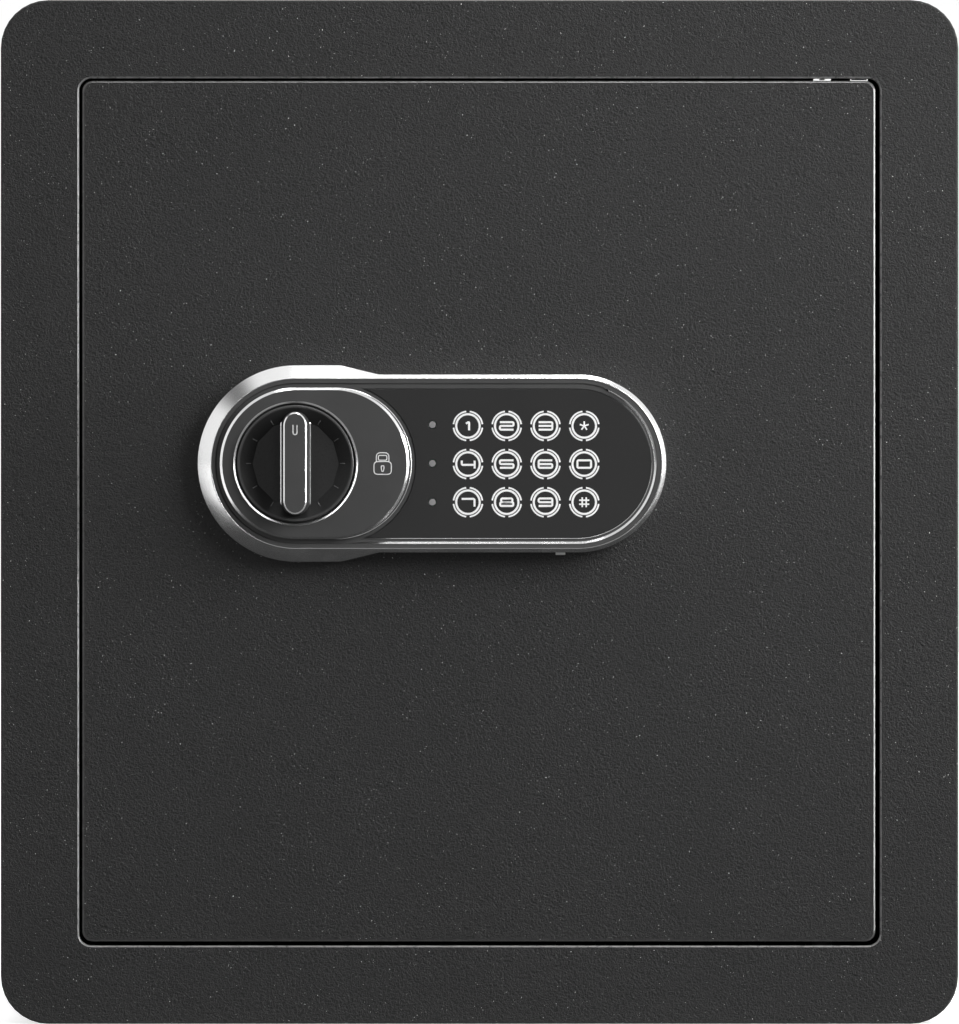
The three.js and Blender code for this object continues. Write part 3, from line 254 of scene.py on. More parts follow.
def settle(piece):
    """Moves the place, turn and size of an object into its mesh."""
    take(piece)
    bpy.ops.object.transform_apply(location=True, rotation=True, scale=True)
    return piece


def added(name, size=(1, 1, 1)):
    """Names the object that was just added, gives it its size and settles it."""
    piece = bpy.context.object
    piece.name = name
    piece.scale = size
    return settle(piece)


def linked(name, data):
    """A new object in the scene."""
    piece = bpy.data.objects.new(name, data)
    bpy.context.scene.collection.objects.link(piece)
    return piece


def apply_modifier(piece, kind, **settings):
    """Adds one modifier, sets it and applies it."""
    take(piece)
    modifier = piece.modifiers.new(kind.title(), kind)
    for name, value in settings.items():
        setattr(modifier, name, value)
    bpy.ops.object.modifier_apply(modifier=modifier.name)


def round_edges(piece, width, segments=2, angle=1.0):
    """Rounds the edges that are sharper than an angle."""
    apply_modifier(
        piece, "BEVEL", width=width, segments=segments, limit_method="ANGLE", angle_limit=angle
    )


def mend(piece):
    """Merges doubles and turns every face outwards."""
    edit(piece)
    pick_all()
    bpy.ops.mesh.remove_doubles(threshold=MERGE)
    bpy.ops.mesh.normals_make_consistent(inside=False)
    rest_all()


def circle(radius, y, sides, turn=0, **how):
    """Adds a circle round the knob's axis that faces the front."""
    place, turned = (KNOB.x, y, KNOB.z), (QUARTER, turn, 0)
    bpy.ops.mesh.primitive_circle_add(
        vertices=sides, radius=radius, location=place, rotation=turned, **how
    )


def disc(name, radius, y, sides=ROUND, half_step=True):
    """A filled circle, as a rule with no corner right above its centre."""
    circle(radius, y, sides, pi / sides if half_step else 0, fill_type="NGON")
    return added(name)


def rod(name, radius, x, z, front, back, sides=ROUND):
    """A round bar along the depth."""
    bpy.ops.mesh.primitive_cylinder_add(
        vertices=sides,
        radius=radius,
        depth=back - front,
        location=(x, (front + back) / 2, z),
        rotation=(QUARTER, pi / sides, 0),
    )
    return added(name)


def carve(piece, cutter, operation="DIFFERENCE"):
    """Takes the cutter out of the piece, or joins it to the piece."""
    apply_modifier(piece, "BOOLEAN", object=cutter, operation=operation, solver="EXACT")
    bpy.data.objects.remove(cutter)


FINISHES = {}


def finish_piece(piece, body, finish, *nodes, slot=None, degrees=30):
    """Gives a finished piece its finish, body and the nodes that it stands for. The slot is not used."""
    take(piece)
    bpy.ops.object.shade_smooth_by_angle(angle=radians(degrees))
    apply_modifier(piece, "WEIGHTED_NORMAL", keep_sharp=True)
    piece.data.materials.append(FINISHES[finish])
    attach(piece, body)
    if nodes:
        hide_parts(*nodes)
    rest_all()


def paint(piece, finish, test):
    """Gives the faces that pass the test a second finish."""
    piece.data.materials.append(FINISHES[finish])
    last = len(piece.data.materials) - 1
    for face in piece.data.polygons:
        if test(face):
            face.material_index = last


def slanted(low, high):
    """A test for faces that lean away from the front."""
    return lambda f: low < -f.normal.y < high


def grey(level):
    """A neutral colour."""
    return (level, level, level)


def shaded(colour, level):
    """A colour made lighter or darker."""
    return tuple(part * level for part in colour)


class Mixer:
    """A tree of nodes that are added and joined by short calls."""

    def __init__(self, tree):
        self.nodes = tree.nodes
        self.links = tree.links

    def fed(self, kind, output, inputs, **settings):
        """Adds a node with its settings and inputs, each a value or another node's output."""
        node = self.nodes.new(f"ShaderNode{kind}")
        for name, value in settings.items():
            setattr(node, name, value)
        for socket, value in inputs.items():
            if isinstance(value, bpy.types.NodeSocket):
                self.links.new(value, node.inputs[socket])
            else:
                node.inputs[socket].default_value = value
        return node.outputs[output]

    def between(self, value, low, high, first=0, last=1, **settings):
        """Maps a value from low and high to first and last, and stops at both."""
        names = ("Value", "From Min", "From Max", "To Min", "To Max")
        inputs = dict(zip(names, (value, low, high, first, last)))
        return self.fed("MapRange", "Result", inputs, **settings)

    def maths(self, operation, first, second):
        """One sum on two values, each an output or a number."""
        return self.fed("Math", "Value", {0: first, 1: second}, operation=operation)

    def axis(self, place, letter):
        """One of the three numbers of a place."""
        return self.fed("SeparateXYZ", letter, {"Vector": place})


class Finish(Mixer):
    """A material under way, listed with the finishes under its name."""

    def __init__(self, name, colour, roughness, metallic=0, **sockets):
        material = FINISHES[name] = bpy.data.materials.new(name)
        material.use_nodes = True
        super().__init__(material.node_tree)
        self.shader = self.nodes["Principled BSDF"]
        sockets.update(Base_Color=(*colour, 1), Roughness=roughness, Metallic=metallic)
        for socket, value in sockets.items():
            self.shader.inputs[socket.replace("_", " ")].default_value = value
        self.place = self.nodes.new("ShaderNodeTexCoord").outputs["Object"]
        self.bump = None

    def feed(self, socket, value):
        """Joins an output to one of the shader's inputs."""
        self.links.new(value, self.shader.inputs[socket])

    def mapped(self, stretch, turn=0):
        """Object coordinates, stretched and turned."""
        inputs = {"Vector": self.place, "Scale": stretch, "Rotation": (0, 0, turn)}
        return self.fed("Mapping", "Vector", inputs, vector_type="TEXTURE")

    def noise(self, size, detail=2, roughness=0.5, place=None, swirl=0):
        """Noise whose blobs are about this size."""
        names = ("Vector", "Scale", "Detail", "Roughness", "Distortion")
        values = (place or self.place, 1 / size, detail, roughness, swirl)
        return self.fed("TexNoise", "Fac", dict(zip(names, values)))

    def cells(self, size):
        """The distance to the middle of the nearest of many cells of about this size."""
        return self.fed("TexVoronoi", "Distance", {"Vector": self.place, "Scale": 1 / size})

    def blend(self, share, first, second):
        """A colour between two, each an output or a colour."""
        ends = [(*end, 1) if isinstance(end, tuple) else end for end in (first, second)]
        return self.fed("Mix", 2, {"Factor": share, 6: ends[0], 7: ends[1]}, data_type="RGBA")

    def tint(self, value, low, high, first, last):
        """Takes the colour from between two, as a value goes from low to high."""
        self.feed("Base Color", self.blend(self.between(value, low, high), first, last))

    def gloss(self, value, low, high, first, last):
        """Takes the roughness from between two, as a value goes from low to high."""
        self.feed("Roughness", self.between(value, low, high, first, last))

    def raise_by(self, height, distance):
        """Adds relief: a height from 0 to 1 times this distance."""
        inputs = {"Distance": distance, "Height": height}
        if self.bump:
            inputs["Normal"] = self.bump
        self.bump = self.fed("Bump", "Normal", inputs)
        self.feed("Normal", self.bump)


# Where most values of a noise lie, and where its middle ones lie
MOST = (0.3, 0.7)
CORE = (0.35, 0.65)
COAT_GLOSS = 0.31
COAT_PATCH = 50 * MM
# Painted shade: the coat's colour darkens in the wrinkle hollows
HOLLOW_PAINTED_SHADE = (0.36, 0.5)
# Painted highlight: pale specks in the coat's colour stand in for glints on the wrinkle crests
GLINT_SIZE = 0.55 * MM
GLINT_CREST = (0.755, 0.78)
GLINT_PATCH = 7 * MM
GLINT_LIT = (0.38, 0.55)
PAINTED_GLINT = grey(0.9)
LENS_BLACK = grey(0.031)
LENS_DUST = grey(0.05)
DUST_SIZE = (0.025, 0.04)


def powder_coat(look):
    """Wrinkled matt coat, with painted highlights for glints on the wrinkle crests and painted shade in
    the wrinkle hollows.
    """
    base = tuple(look.colour)
    coat = Finish("powder_coat", base, look.roughness, Specular_IOR_Level=COAT_GLOSS)
    wrinkle = coat.noise(look.wrinkle, 2, 0.6, swirl=0.8)
    grain = coat.noise(look.wrinkle / 2.5, 1)
    patch = coat.noise(COAT_PATCH)
    deep = coat.maths("MULTIPLY", wrinkle, coat.between(patch, 0.38, 0.62, 0.75, 1))
    shade = coat.blend(coat.between(patch, *CORE), shaded(base, 0.97), shaded(base, 1.03))
    # Painted shade: darker colour in the wrinkle hollows, up to 45 % towards black
    shade = coat.blend(coat.between(wrinkle, *HOLLOW_PAINTED_SHADE, 0.45, 0), shade, grey(0))
    # Painted highlight: pale specks on the highest crests, in random patches, stand in for glints
    crest = coat.between(coat.noise(GLINT_SIZE, 1), *GLINT_CREST)
    lit = coat.between(coat.noise(GLINT_PATCH, 1), *GLINT_LIT)
    coat.feed("Base Color", coat.blend(coat.maths("MULTIPLY", crest, lit), shade, PAINTED_GLINT))
    coat.gloss(wrinkle, *MOST, look.roughness - 0.08, look.roughness + 0.08)
    coat.raise_by(deep, look.relief)
    coat.raise_by(grain, look.relief * 0.1)


def edge_wear_and_highlight(name, colour, roughness, metallic):
    """The coat where it runs thin and smooth over an edge, lighter and more metallic than the coat:
    partly wear, partly a painted highlight for the bright edge lines.
    """
    edge = Finish(name, colour, roughness, metallic, Specular_IOR_Level=1)
    wear = edge.noise(3 * MM, 3, 0.6)
    edge.tint(wear, *CORE, colour, shaded(colour, 1.6))
    edge.gloss(wear, *MOST, roughness * 0.8, roughness * 1.25)
    edge.raise_by(edge.noise(0.9 * MM, 1), 0.012 * MM)


def bright_metal(name, colour, roughness, relief):
    """Plated or polished metal with a faint grain and haze."""
    metal = Finish(name, colour, roughness, 1)
    lines = metal.noise(0.5 * MM, 3, 0.6, metal.mapped((6, 1, 1)))
    haze = metal.noise(9 * MM)
    grain = metal.between(lines, *MOST, roughness * 0.85, roughness * 1.1)
    dull = metal.between(haze, 0.4, 0.7, 0, roughness * 0.3)
    metal.feed("Roughness", metal.maths("ADD", grain, dull))
    metal.tint(haze, *MOST, shaded(colour, 0.95), colour)
    metal.raise_by(lines, relief)


def moulded(name, colour, roughness, grain=0.25 * MM, relief=0.006 * MM, **sockets):
    """Moulded or painted plastic with a fine grain and a little haze."""
    plastic = Finish(name, colour, roughness, **sockets)
    fine = plastic.noise(grain, 2, 0.6)
    plastic.tint(plastic.noise(14 * MM), *CORE, colour, shaded(colour, 1.12))
    plastic.gloss(fine, *MOST, roughness * 0.88, roughness * 1.12)
    plastic.raise_by(fine, relief)


def plated_zinc():
    """Dull zinc plate with a faint mottle."""
    zinc = Finish("zinc_steel", (0.5, 0.51, 0.52), 0.38, 1)
    mottle = zinc.noise(1.2 * MM, 3, 0.6)
    zinc.tint(mottle, *MOST, (0.4, 0.41, 0.42), (0.58, 0.585, 0.59))
    zinc.gloss(mottle, *MOST, 0.3, 0.46)
    zinc.raise_by(mottle, 0.006 * MM)


def felted():
    """Short tangled fibres."""
    felt = Finish("felt", (0.03, 0.031, 0.034), 0.95, Sheen_Weight=0.5, Sheen_Roughness=0.4)
    fibre = felt.noise(0.6 * MM, 4, 0.7, felt.mapped((3, 1, 1), 0.6))
    cross = felt.noise(0.7 * MM, 4, 0.7, felt.mapped((1, 3, 1), -0.5))
    tangle = felt.maths("ADD", fibre, cross)
    felt.tint(tangle, 0.7, 1.3, (0.02, 0.021, 0.023), (0.06, 0.061, 0.065))
    felt.raise_by(tangle, 0.35 * MM)


def circuit_board():
    """Green lacquer over copper tracks."""
    board = Finish("board_green", (0.02, 0.13, 0.06), 0.35)
    tracks = board.cells(4 * MM)
    board.tint(tracks, 0.42, 0.46, (0.015, 0.1, 0.045), (0.05, 0.22, 0.1))
    board.raise_by(tracks, 0.05 * MM)


def printed_ink(look):
    """Thick white screen ink."""
    white = tuple(look.ink)
    ink = Finish("panel_ink", white, 0.5)
    mottle = ink.noise(0.3 * MM, 2, 0.6)
    ink.tint(mottle, *MOST, shaded(white, 0.92), white)
    ink.raise_by(mottle, 0.004 * MM)


def key_lens():
    """Dark gloss sheet over the touch keys, with a little dust."""
    lens = Finish("lens_black", LENS_BLACK, 0.12, Specular_IOR_Level=0.45)
    lens.gloss(lens.noise(25 * MM, 3, 0.6), *MOST, 0.1, 0.15)
    lens.tint(lens.cells(4 * MM), *DUST_SIZE, LENS_DUST, LENS_BLACK)


def make_finishes(scene):
    """Mixes every finish once."""
    powder_coat(scene.safe_coat)
    # The doorway edges are lighter and more metallic than the coat: partly wear, partly painted highlight
    edge_wear_and_highlight("door_edge", grey(0.05), 0.22, 0.12)
    edge_wear_and_highlight("frame_edge", grey(0.16), 0.3, 0.3)
    bright_metal("chrome", grey(0.86), 0.14, 0.0002 * MM)
    plated_zinc()
    moulded("dark_plastic", grey(0.055), 0.36)
    moulded("dial_black", grey(0.019), 0.3, Specular_IOR_Level=0.5)
    key_lens()
    moulded("satin_grey", grey(0.047), 0.34, 0.2 * MM, 0.003 * MM)
    moulded("light_grey", grey(0.22), 0.4)
    moulded("mark_grey", grey(0.7), 0.4)
    moulded("nylon", (0.85, 0.85, 0.84), 0.4)
    circuit_board()
    felted()
    bright_metal("brass", (0.72, 0.52, 0.22), 0.28, 0.002 * MM)
    moulded("cell_wrap", (0.03, 0.06, 0.12), 0.28)
    moulded("red_plastic", (0.42, 0.02, 0.012), 0.32)
    printed_ink(scene.safe_panel)


DOORWAY_HALF = 153 * MM
DOORWAY_LOW = 27 * MM
DOORWAY_HIGH = 358 * MM
FLAT = radians(0.5)


def by_doorway(face):
    """Whether a slanted face is on the edge of the door or of the frame's opening."""
    place = face.center
    inside = abs(place.x) < DOORWAY_HALF and DOORWAY_LOW < place.z < DOORWAY_HIGH
    return place.y < FRONT + MM and inside and 0.3 < -face.normal.y < 0.95


def refined(node, name, finish, width, segments=3, edge=None, draw_in=0.0):
    """A merged copy of a node's own shape, with its sharp edges rounded by a width in millimetres.

    The edge finish goes on slanted faces by the doorway. A front face that is drawn in a little has
    a flatter chamfer round it.
    """
    source = frame["nodes"][node]
    piece = linked(name, source.data.copy())
    mend(piece)
    edit(piece)
    pick_all()
    bpy.ops.mesh.dissolve_limited(angle_limit=FLAT)
    if draw_in:
        low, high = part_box(node)
        half = (high - low) / 2
        pick(lambda v: v.co.y < FRONT + TINY, "VERT")
        scale_about(low + half, (1 - draw_in / half.x, 1, 1 - draw_in / half.z))
    rest_all()
    piece.data.materials.clear()
    round_edges(piece, width * MM, segments, radians(SHARP))
    finish_piece(piece, source["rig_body"], finish, node, degrees=SHARP)
    if edge:
        paint(piece, edge, by_doorway)


def refine_all(rows, segments=3):
    """Makes the refined copy of each row's node."""
    for node, name, finish, width in rows:
        refined(node, name, finish, width, segments)


def alike(node, name, finish, width, *ends):
    """One row for each of some nodes whose names differ in their end alone."""
    return [(f"{node}_{end}", f"{name}_{end}", finish, width) for end in ends]


class SAFE_OT_finishes(bpy.types.Operator):
    """Mixes the finishes of the safe"""

    bl_idname = "safe.finishes"
    bl_label = "Finishes"

    def execute(self, context):
        make_finishes(context.scene)
        return {"FINISHED"}


# Each row of these lists: node, name, finish and width of the rounded edges in millimetres
CABINET_PARTS = (
    ("body_wrap", "cabinet_wrap", "powder_coat", 0.3),
    ("rear_wall", "cabinet_back", "powder_coat", 0.5),
    *alike("shelf_support", "shelf_angle", "powder_coat", 0.3, "left", "right"),
    ("shelf", "shelf_tray", "powder_coat", 0.4),
    *alike("anchor_plug", "anchor_cap", "dark_plastic", 0.5, 1, 2),
)


class SAFE_OT_cabinet(bpy.types.Operator):
    """Dresses the body, the shelf and its angles, and the anchor plugs"""

    bl_idname = "safe.cabinet"
    bl_label = "Cabinet"

    def execute(self, context):
        refined("front_frame", "front_surround", "powder_coat", 0.12, edge="frame_edge")
        refine_all(CABINET_PARTS)
        return {"FINISHED"}


MAT_WAVE = 0.3
MAT_WAVE_LENGTH = 0.12
MAT_BODY = 0.55
MAT_EDGE = 0.25


def floor_felt():
    """The felt mat, with soft edges and a slight lift, all in shares of its thickness."""
    low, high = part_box("floor_mat")
    wide, deep, thick = (end - start for start, end in zip(low, high))
    bpy.ops.mesh.primitive_grid_add(
        x_subdivisions=48, y_subdivisions=40, size=1, location=((low + high) / 2)
    )
    piece = added("felt_mat", (wide, deep, 1))
    waves = bpy.data.textures.new("mat_waves", "CLOUDS")
    waves.noise_scale = MAT_WAVE_LENGTH
    apply_modifier(piece, "DISPLACE", texture=waves, strength=thick * MAT_WAVE, mid_level=0.5)
    apply_modifier(piece, "SOLIDIFY", thickness=thick * MAT_BODY, offset=0)
    round_edges(piece, thick * MAT_EDGE)
    mend(piece)
    finish_piece(piece, "safe_body", "felt", "floor_mat", degrees=60)


class SAFE_OT_mat(bpy.types.Operator):
    """Lays the felt mat on the floor of the safe"""

    bl_idname = "safe.mat"
    bl_label = "Floor mat"

    def execute(self, context):
        floor_felt()
        return {"FINISHED"}


DOOR_PARTS = (
    ("door_pan", "door_liner", "powder_coat", 0.35),
    ("door_back_cover", "door_rear_panel", "powder_coat", 0.3),
    *alike("hinge_bracket", "hinge_ear", "powder_coat", 0.4, "top", "bottom"),
    *alike("hinge_block", "hinge_knuckle", "zinc_steel", 0.4, "top", "bottom"),
    ("hinge_pin_top", "hinge_pivot_top", "zinc_steel", 0.35),
    ("hinge_pin_bottom", "hinge_pivot_bottom", "powder_coat", 0.35),
    *alike("cover_screw", "panel_bolt", "zinc_steel", 0.15, 1, 2, 3, 4),
)
DOOR_DRAW_IN = 0.1 * MM
GAP_SHEET = 0.25 * MM
GAP_SINK = 0.3 * MM
GAP_BACK = 3.6 * MM
GAP_ROUND = 0.04 * MM
# The pale plates in the gap above the door are painted highlights, in place of the hinge pin's bright
# sides and a bright edge beside it
PIN_HIGHLIGHT_LEFT = 0.2 * MM
PIN_HIGHLIGHT_RIGHT = 0.6 * MM
PIN_HIGHLIGHT_LUG = 2.3 * MM
PIN_HIGHLIGHT_LIP = 0.5 * MM
TAB_LEFT = 139.4 * MM
TAB_RIGHT = 146.0 * MM
TAB_LIP = 0.4 * MM


def gap_plate(name, left, right, lug, lip):
    """A thin pale plate in the gap above the door, with a lug turned up at each end: a painted highlight,
    whose lugs give bright spots.
    """
    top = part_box("door_plate")[1].z
    front = FRONT + GAP_SINK
    centre = ((left + right) / 2, front + GAP_BACK / 2, top + GAP_SHEET / 2)
    bpy.ops.mesh.primitive_cube_add(size=1, location=centre)
    piece = added(name, (right - left, GAP_BACK, GAP_SHEET))
    first, last = left + lug, right - lug
    edit(piece)
    for x in (first, last):
        pick_all()
        cut_across(x)
    pick(lambda f: f.normal.z > 0.9 and not first < f.calc_center_median().x < last)
    extrude(0, lip)
    mend(piece)
    round_edges(piece, GAP_ROUND)
    finish_piece(piece, "door", "nylon", degrees=SHARP)


def make_gap_plates():
    """Painted highlights in the gap above the door: a pale plate at the hinge pin whose two lugs stand in
    for the pin's two bright sides, and the thin pale tab beside it with its ends turned up.
    """
    low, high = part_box("hinge_pin_top")
    gap_plate("hinge_pin_highlight", low.x + PIN_HIGHLIGHT_LEFT, high.x - PIN_HIGHLIGHT_RIGHT, PIN_HIGHLIGHT_LUG, PIN_HIGHLIGHT_LIP)
    gap_plate("hinge_tab_highlight", TAB_LEFT, TAB_RIGHT, TAB_LIP, TAB_LIP)


class SAFE_OT_door(bpy.types.Operator):
    """Dresses the door, its hinges and the screws of its rear panel"""

    bl_idname = "safe.door"
    bl_label = "Door"

    def execute(self, context):
        refined("door_plate", "door_skin", "powder_coat", 0.08, edge="door_edge", draw_in=DOOR_DRAW_IN)
        refine_all(DOOR_PARTS)
        make_gap_plates()
        return {"FINISHED"}


LOCK_PARTS = (
    ("bolt_carriage", "bolt_bar", "zinc_steel", 0.4),
    *alike("locking_bolt", "live_bolt", "zinc_steel", 0.6, "upper", "lower"),
    ("key_plug", "key_barrel_core", "brass", 0.15),
    ("key_cylinder", "key_barrel", "brass", 0.25),
    ("key_cam", "key_lever", "zinc_steel", 0.2),
    ("knob_cam", "knob_crank", "zinc_steel", 0.25),
    ("knob_spindle", "knob_shaft", "zinc_steel", 0.2),
    ("spindle_bushing", "shaft_bush", "dark_plastic", 0.2),
    ("solenoid_body", "solenoid_case", "zinc_steel", 0.4),
    ("solenoid_bracket", "solenoid_strap", "zinc_steel", 0.3),
    ("solenoid_plunger", "solenoid_core", "zinc_steel", 0.25),
    ("battery_box", "battery_tray", "dark_plastic", 0.4),
    ("battery_lid", "battery_door", "dark_plastic", 0.35),
    ("control_box", "control_case", "dark_plastic", 0.5),
    ("reset_housing", "reset_case", "dark_plastic", 0.4),
    ("reset_button", "reset_key", "red_plastic", 0.5),
    *alike("battery", "cell", "cell_wrap", 0.5, 1, 2, 3, 4),
)
PLAIN_NODES = {
    "zinc_steel": ("guide_stud_1", "guide_stud_2", "spindle_clip", "panel_screw_1", "panel_screw_2"),
    "board_green": ("keypad_board",),
    "light_grey": ("ribbon_cable",),
}


class SAFE_OT_lock_work(bpy.types.Operator):
    """Dresses the bolts, the lock work and the electronics inside the door"""

    bl_idname = "safe.lock_work"
    bl_label = "Lock work"

    def execute(self, context):
        refine_all(LOCK_PARTS)
        for finish, nodes in PLAIN_NODES.items():
            for node in nodes:
                materials = frame["nodes"][node].data.materials
                materials.clear()
                materials.append(FINISHES[finish])
        return {"FINISHED"}


RIM_INNER = 31.9 * MM
RIM_WALL = 8.0 * MM
RIM_END_WALL = 11.7 * MM
RIM_PROUD = 13.3 * MM
RIM_LAND = 0.3 * MM
RIM_ROUND = 0.12 * MM
RIM_SHARP = radians(25)
RIM_LEAN = radians(1.1)
RIM_END_LEAN = radians(0.36)
LOBE_END = KNOB.x + 16.8 * MM
SLOPE_END = LOBE_END + 14.5 * MM
KEYPAD_END = 33.4 * MM


def scale_outline(y, scales):
    """Brings the outline at this depth in or out: lobe arc, flat's end, slope's end, keypad arc."""
    lock = Vector((KNOB.x, y, KNOB.z))
    keypad = Vector((KEYPAD_X, y, KNOB.z))
    zones = (
        (lambda x: x < KNOB.x + MM, lock, True),
        (lambda x: abs(x - LOBE_END) < MM, lock, False),
        (lambda x: abs(x - SLOPE_END) < MM, lock, False),
        (lambda x: x > KEYPAD_X - MM, keypad, True),
    )
    for (inside, centre, both), scale in zip(zones, scales):
        if scale == 1:
            continue
        pick(lambda v: lies_at(v, y) and inside(v.co.x), "VERT")
        scale_about(centre, (scale if both else 1, 1, scale))


def lean_wall(y, lean, zone=lambda x: True):
    """Leans the outline at this depth, so the bevel above it is a little steeper below than on top."""
    pick(lambda v: lies_at(v, y) and zone(v.co.x), "VERT")
    bpy.ops.transform.rotate(value=-lean, orient_axis="X", center_override=(KNOB.x, y, KNOB.z))


def make_rim():
    """The chrome rim: a wall, a broad bevel round the lobe and a narrow one round the keypad."""
    piece = disc("chrome_rim", LOBE, PANEL_BACK)
    edit(piece)
    stretch(KEYPAD_X - KNOB.x)
    for x in (LOBE_END, SLOPE_END):
        pick_all()
        cut_across(x)
    end = KEYPAD_END / LOBE
    scale_outline(PANEL_BACK, (1, 1, end, end))
    pick(lambda f: True)
    extrude(-RIM_WALL)
    extrude(RIM_WALL - RIM_PROUD)
    lobe, end = RIM_INNER / LOBE, RIM_INNER / KEYPAD_END
    top = PANEL_BACK - RIM_PROUD
    scale_outline(top, (lobe, lobe, end, end))
    pick(lambda f: lies_at(f, top))
    inset(RIM_LAND)
    extrude(RIM_PROUD)
    pick(lambda f: lies_at(f, PANEL_BACK))
    open_middle()
    wall, end_wall = PANEL_BACK - RIM_WALL, PANEL_BACK - RIM_END_WALL
    pick(lambda v: lies_at(v, wall) and v.co.x > SLOPE_END - MM, "VERT")
    shift(y=end_wall - wall)
    lean_wall(wall, RIM_LEAN, lambda x: x < LOBE_END + MM)
    lean_wall(end_wall, RIM_END_LEAN, lambda x: x > SLOPE_END - MM)
    mend(piece)
    round_edges(piece, RIM_ROUND, angle=RIM_SHARP)
    finish_piece(piece, "door", "chrome", "lock_bezel")


FACE_PROUD = 12.4 * MM
BAND_OUTER = 31.6 * MM
BAND_FRONT = 12.95 * MM
BAND_SLOPE = (0.5 * MM, 0.4 * MM)
BEAD_OUTER = 30.25 * MM
BEAD_FRONT = 13.2 * MM
BEAD_LAND = 0.1 * MM
BEAD_WIDTH = 0.8 * MM
BEAD_FALL = 0.7 * MM
BEAD_SLIP = 0.55 * MM
BEAD_LEAN = radians(0.25)
BEAD_START = KNOB.x + 18.5 * MM
BEAD_FINISH = KEYPAD_X + 10 * MM
BEAD_TAPER = 7 * MM
LINE_OUTER = 28.25 * MM
LINE_FRONT = 12.8 * MM
LINE_LAND = 0.06 * MM
LINE_WIDTH = 0.4 * MM
LINE_FALL = 0.34 * MM
LINE_SLIP = 0.2 * MM
LINE_START = KNOB.x + 24.5 * MM
LINE_FINISH = KEYPAD_X + 17 * MM


def oval_ring(name, outer, proud, lands, slip=0.0, lean=0.0):
    """A closed ring round the whole panel, whose lands each have a width and a fall towards the door."""
    back, front = PANEL_BACK - FACE_PROUD, PANEL_BACK - proud
    piece = disc(name, outer, back)
    edit(piece)
    stretch(KEYPAD_X - KNOB.x - slip)
    pick(lambda f: True)
    extrude(front - back)
    depth = front
    for width, fall in lands:
        inset(width, -fall)
        depth += fall
    extrude(back - depth)
    lean_wall(depth, lean)
    pick(lambda f: len(f.verts) > 4)
    open_middle()
    mend(piece)
    return piece


def open_ring(piece, start, finish, radius):
    """Keeps a ring from the bottom left round the right end, with tips that run to a point."""
    edit(piece)
    pick_all()
    cut_across(start, use_fill=True, clear_inner=True)
    pick(lambda f: f.calc_center_median().z > KNOB.z)
    cut_across(finish, use_fill=True, clear_inner=True)
    pick(lambda v: v.co.x < start + TINY and v.co.z > KNOB.z - radius, "VERT")
    shift(BEAD_TAPER)
    depth = radius * sqrt(1 - ((finish - KEYPAD_X) / radius) ** 2)
    pick(lambda v: abs(v.co.x - finish) < TINY and 0 < v.co.z - KNOB.z < depth, "VERT")
    slope = (finish - KEYPAD_X) / depth
    shift(BEAD_TAPER / 2, 0, -BEAD_TAPER / 2 * slope)
    mend(piece)


def make_rings():
    """The raised band inside the rim, the bright bead round the keypad and the hairline by the glass."""
    lands = [(BAND_OUTER - BEAD_OUTER, 0), BAND_SLOPE]
    band = oval_ring("panel_band", BAND_OUTER, BAND_FRONT, lands)
    finish_piece(band, "door", "dark_plastic")
    lands = [(BEAD_LAND, 0), (BEAD_WIDTH, BEAD_FALL)]
    bead = oval_ring("keypad_bead", BEAD_OUTER, BEAD_FRONT, lands, BEAD_SLIP, -BEAD_LEAN)
    open_ring(bead, BEAD_START, BEAD_FINISH, BEAD_OUTER - BEAD_WIDTH / 2)
    finish_piece(bead, "door", "chrome", "keypad_trim")
    lands = [(LINE_LAND, 0), (LINE_WIDTH, LINE_FALL)]
    lean = -BEAD_LEAN / 2
    line = oval_ring("glass_hairline", LINE_OUTER, LINE_FRONT, lands, LINE_SLIP, lean)
    open_ring(line, LINE_START, LINE_FINISH, LINE_OUTER - LINE_WIDTH / 2)
    finish_piece(line, "door", "chrome")


COVER_CHAMFER = 0.9 * MM
COVER_RADIUS = 28.4 * MM
COVER_STRAIGHT = 15.1 * MM
COVER_STEP = 0.95 * MM
COVER_HOLE = 22.6 * MM
COVER_FLARE = 0.75 * MM
COVER_FLARE_DEPTH = 0.13 * MM
COVER_BACK = PANEL_BACK - 12.7 * MM
COVER_LEAN = radians(0.5)
COVER_SHARP = 6
LEDGE_FRONT = PANEL_BACK - 14.6 * MM
LEDGE_CHAMFER = 0.26 * MM
PEG_RADIUS = 1.5 * MM
PEG_X = KNOB.x + 21 * MM
PEG_RISE = 18.5 * MM
PEG_START = 0.5 * MM
PEG_LENGTH = 3.7 * MM
CHAMFER_SLANT = slanted(0.4, 0.9)
FLARE_SLANT = slanted(0.9, 0.999)


def oval_slab(name, reach, front, back, chamfer, lean=0.0):
    """A chamfered oval slab between two depths, with the knob's hole through its left end."""
    piece = disc(name, COVER_RADIUS, back)
    edit(piece)
    stretch(reach)
    pick_all()
    foot = front + chamfer
    extrude(foot - back)
    inset(chamfer, chamfer)
    if lean:
        lean_wall(foot, lean)
    mend(piece)
    carve(piece, rod("hole", COVER_HOLE, KNOB.x, KNOB.z, front - MM, back + MM))
    return piece


def from_axis(place):
    """How far a point is from the knob's axis."""
    return (place.xz - KNOB.xz).length


def flare_hole(piece, front):
    """Gives the knob's hole a shallow flare at the front."""
    edge = COVER_HOLE + 0.1 * MM
    edit(piece)
    pick(lambda e: lies_at(e, front) and all(from_axis(v.co) < edge for v in e.verts), "EDGE")
    bpy.ops.mesh.bevel(offset=COVER_FLARE, segments=1, affect="EDGES")
    inner = front + COVER_FLARE
    pick(lambda v: lies_at(v, inner) and from_axis(v.co) < edge, "VERT")
    shift(y=COVER_FLARE_DEPTH - COVER_FLARE)
    rest_all()


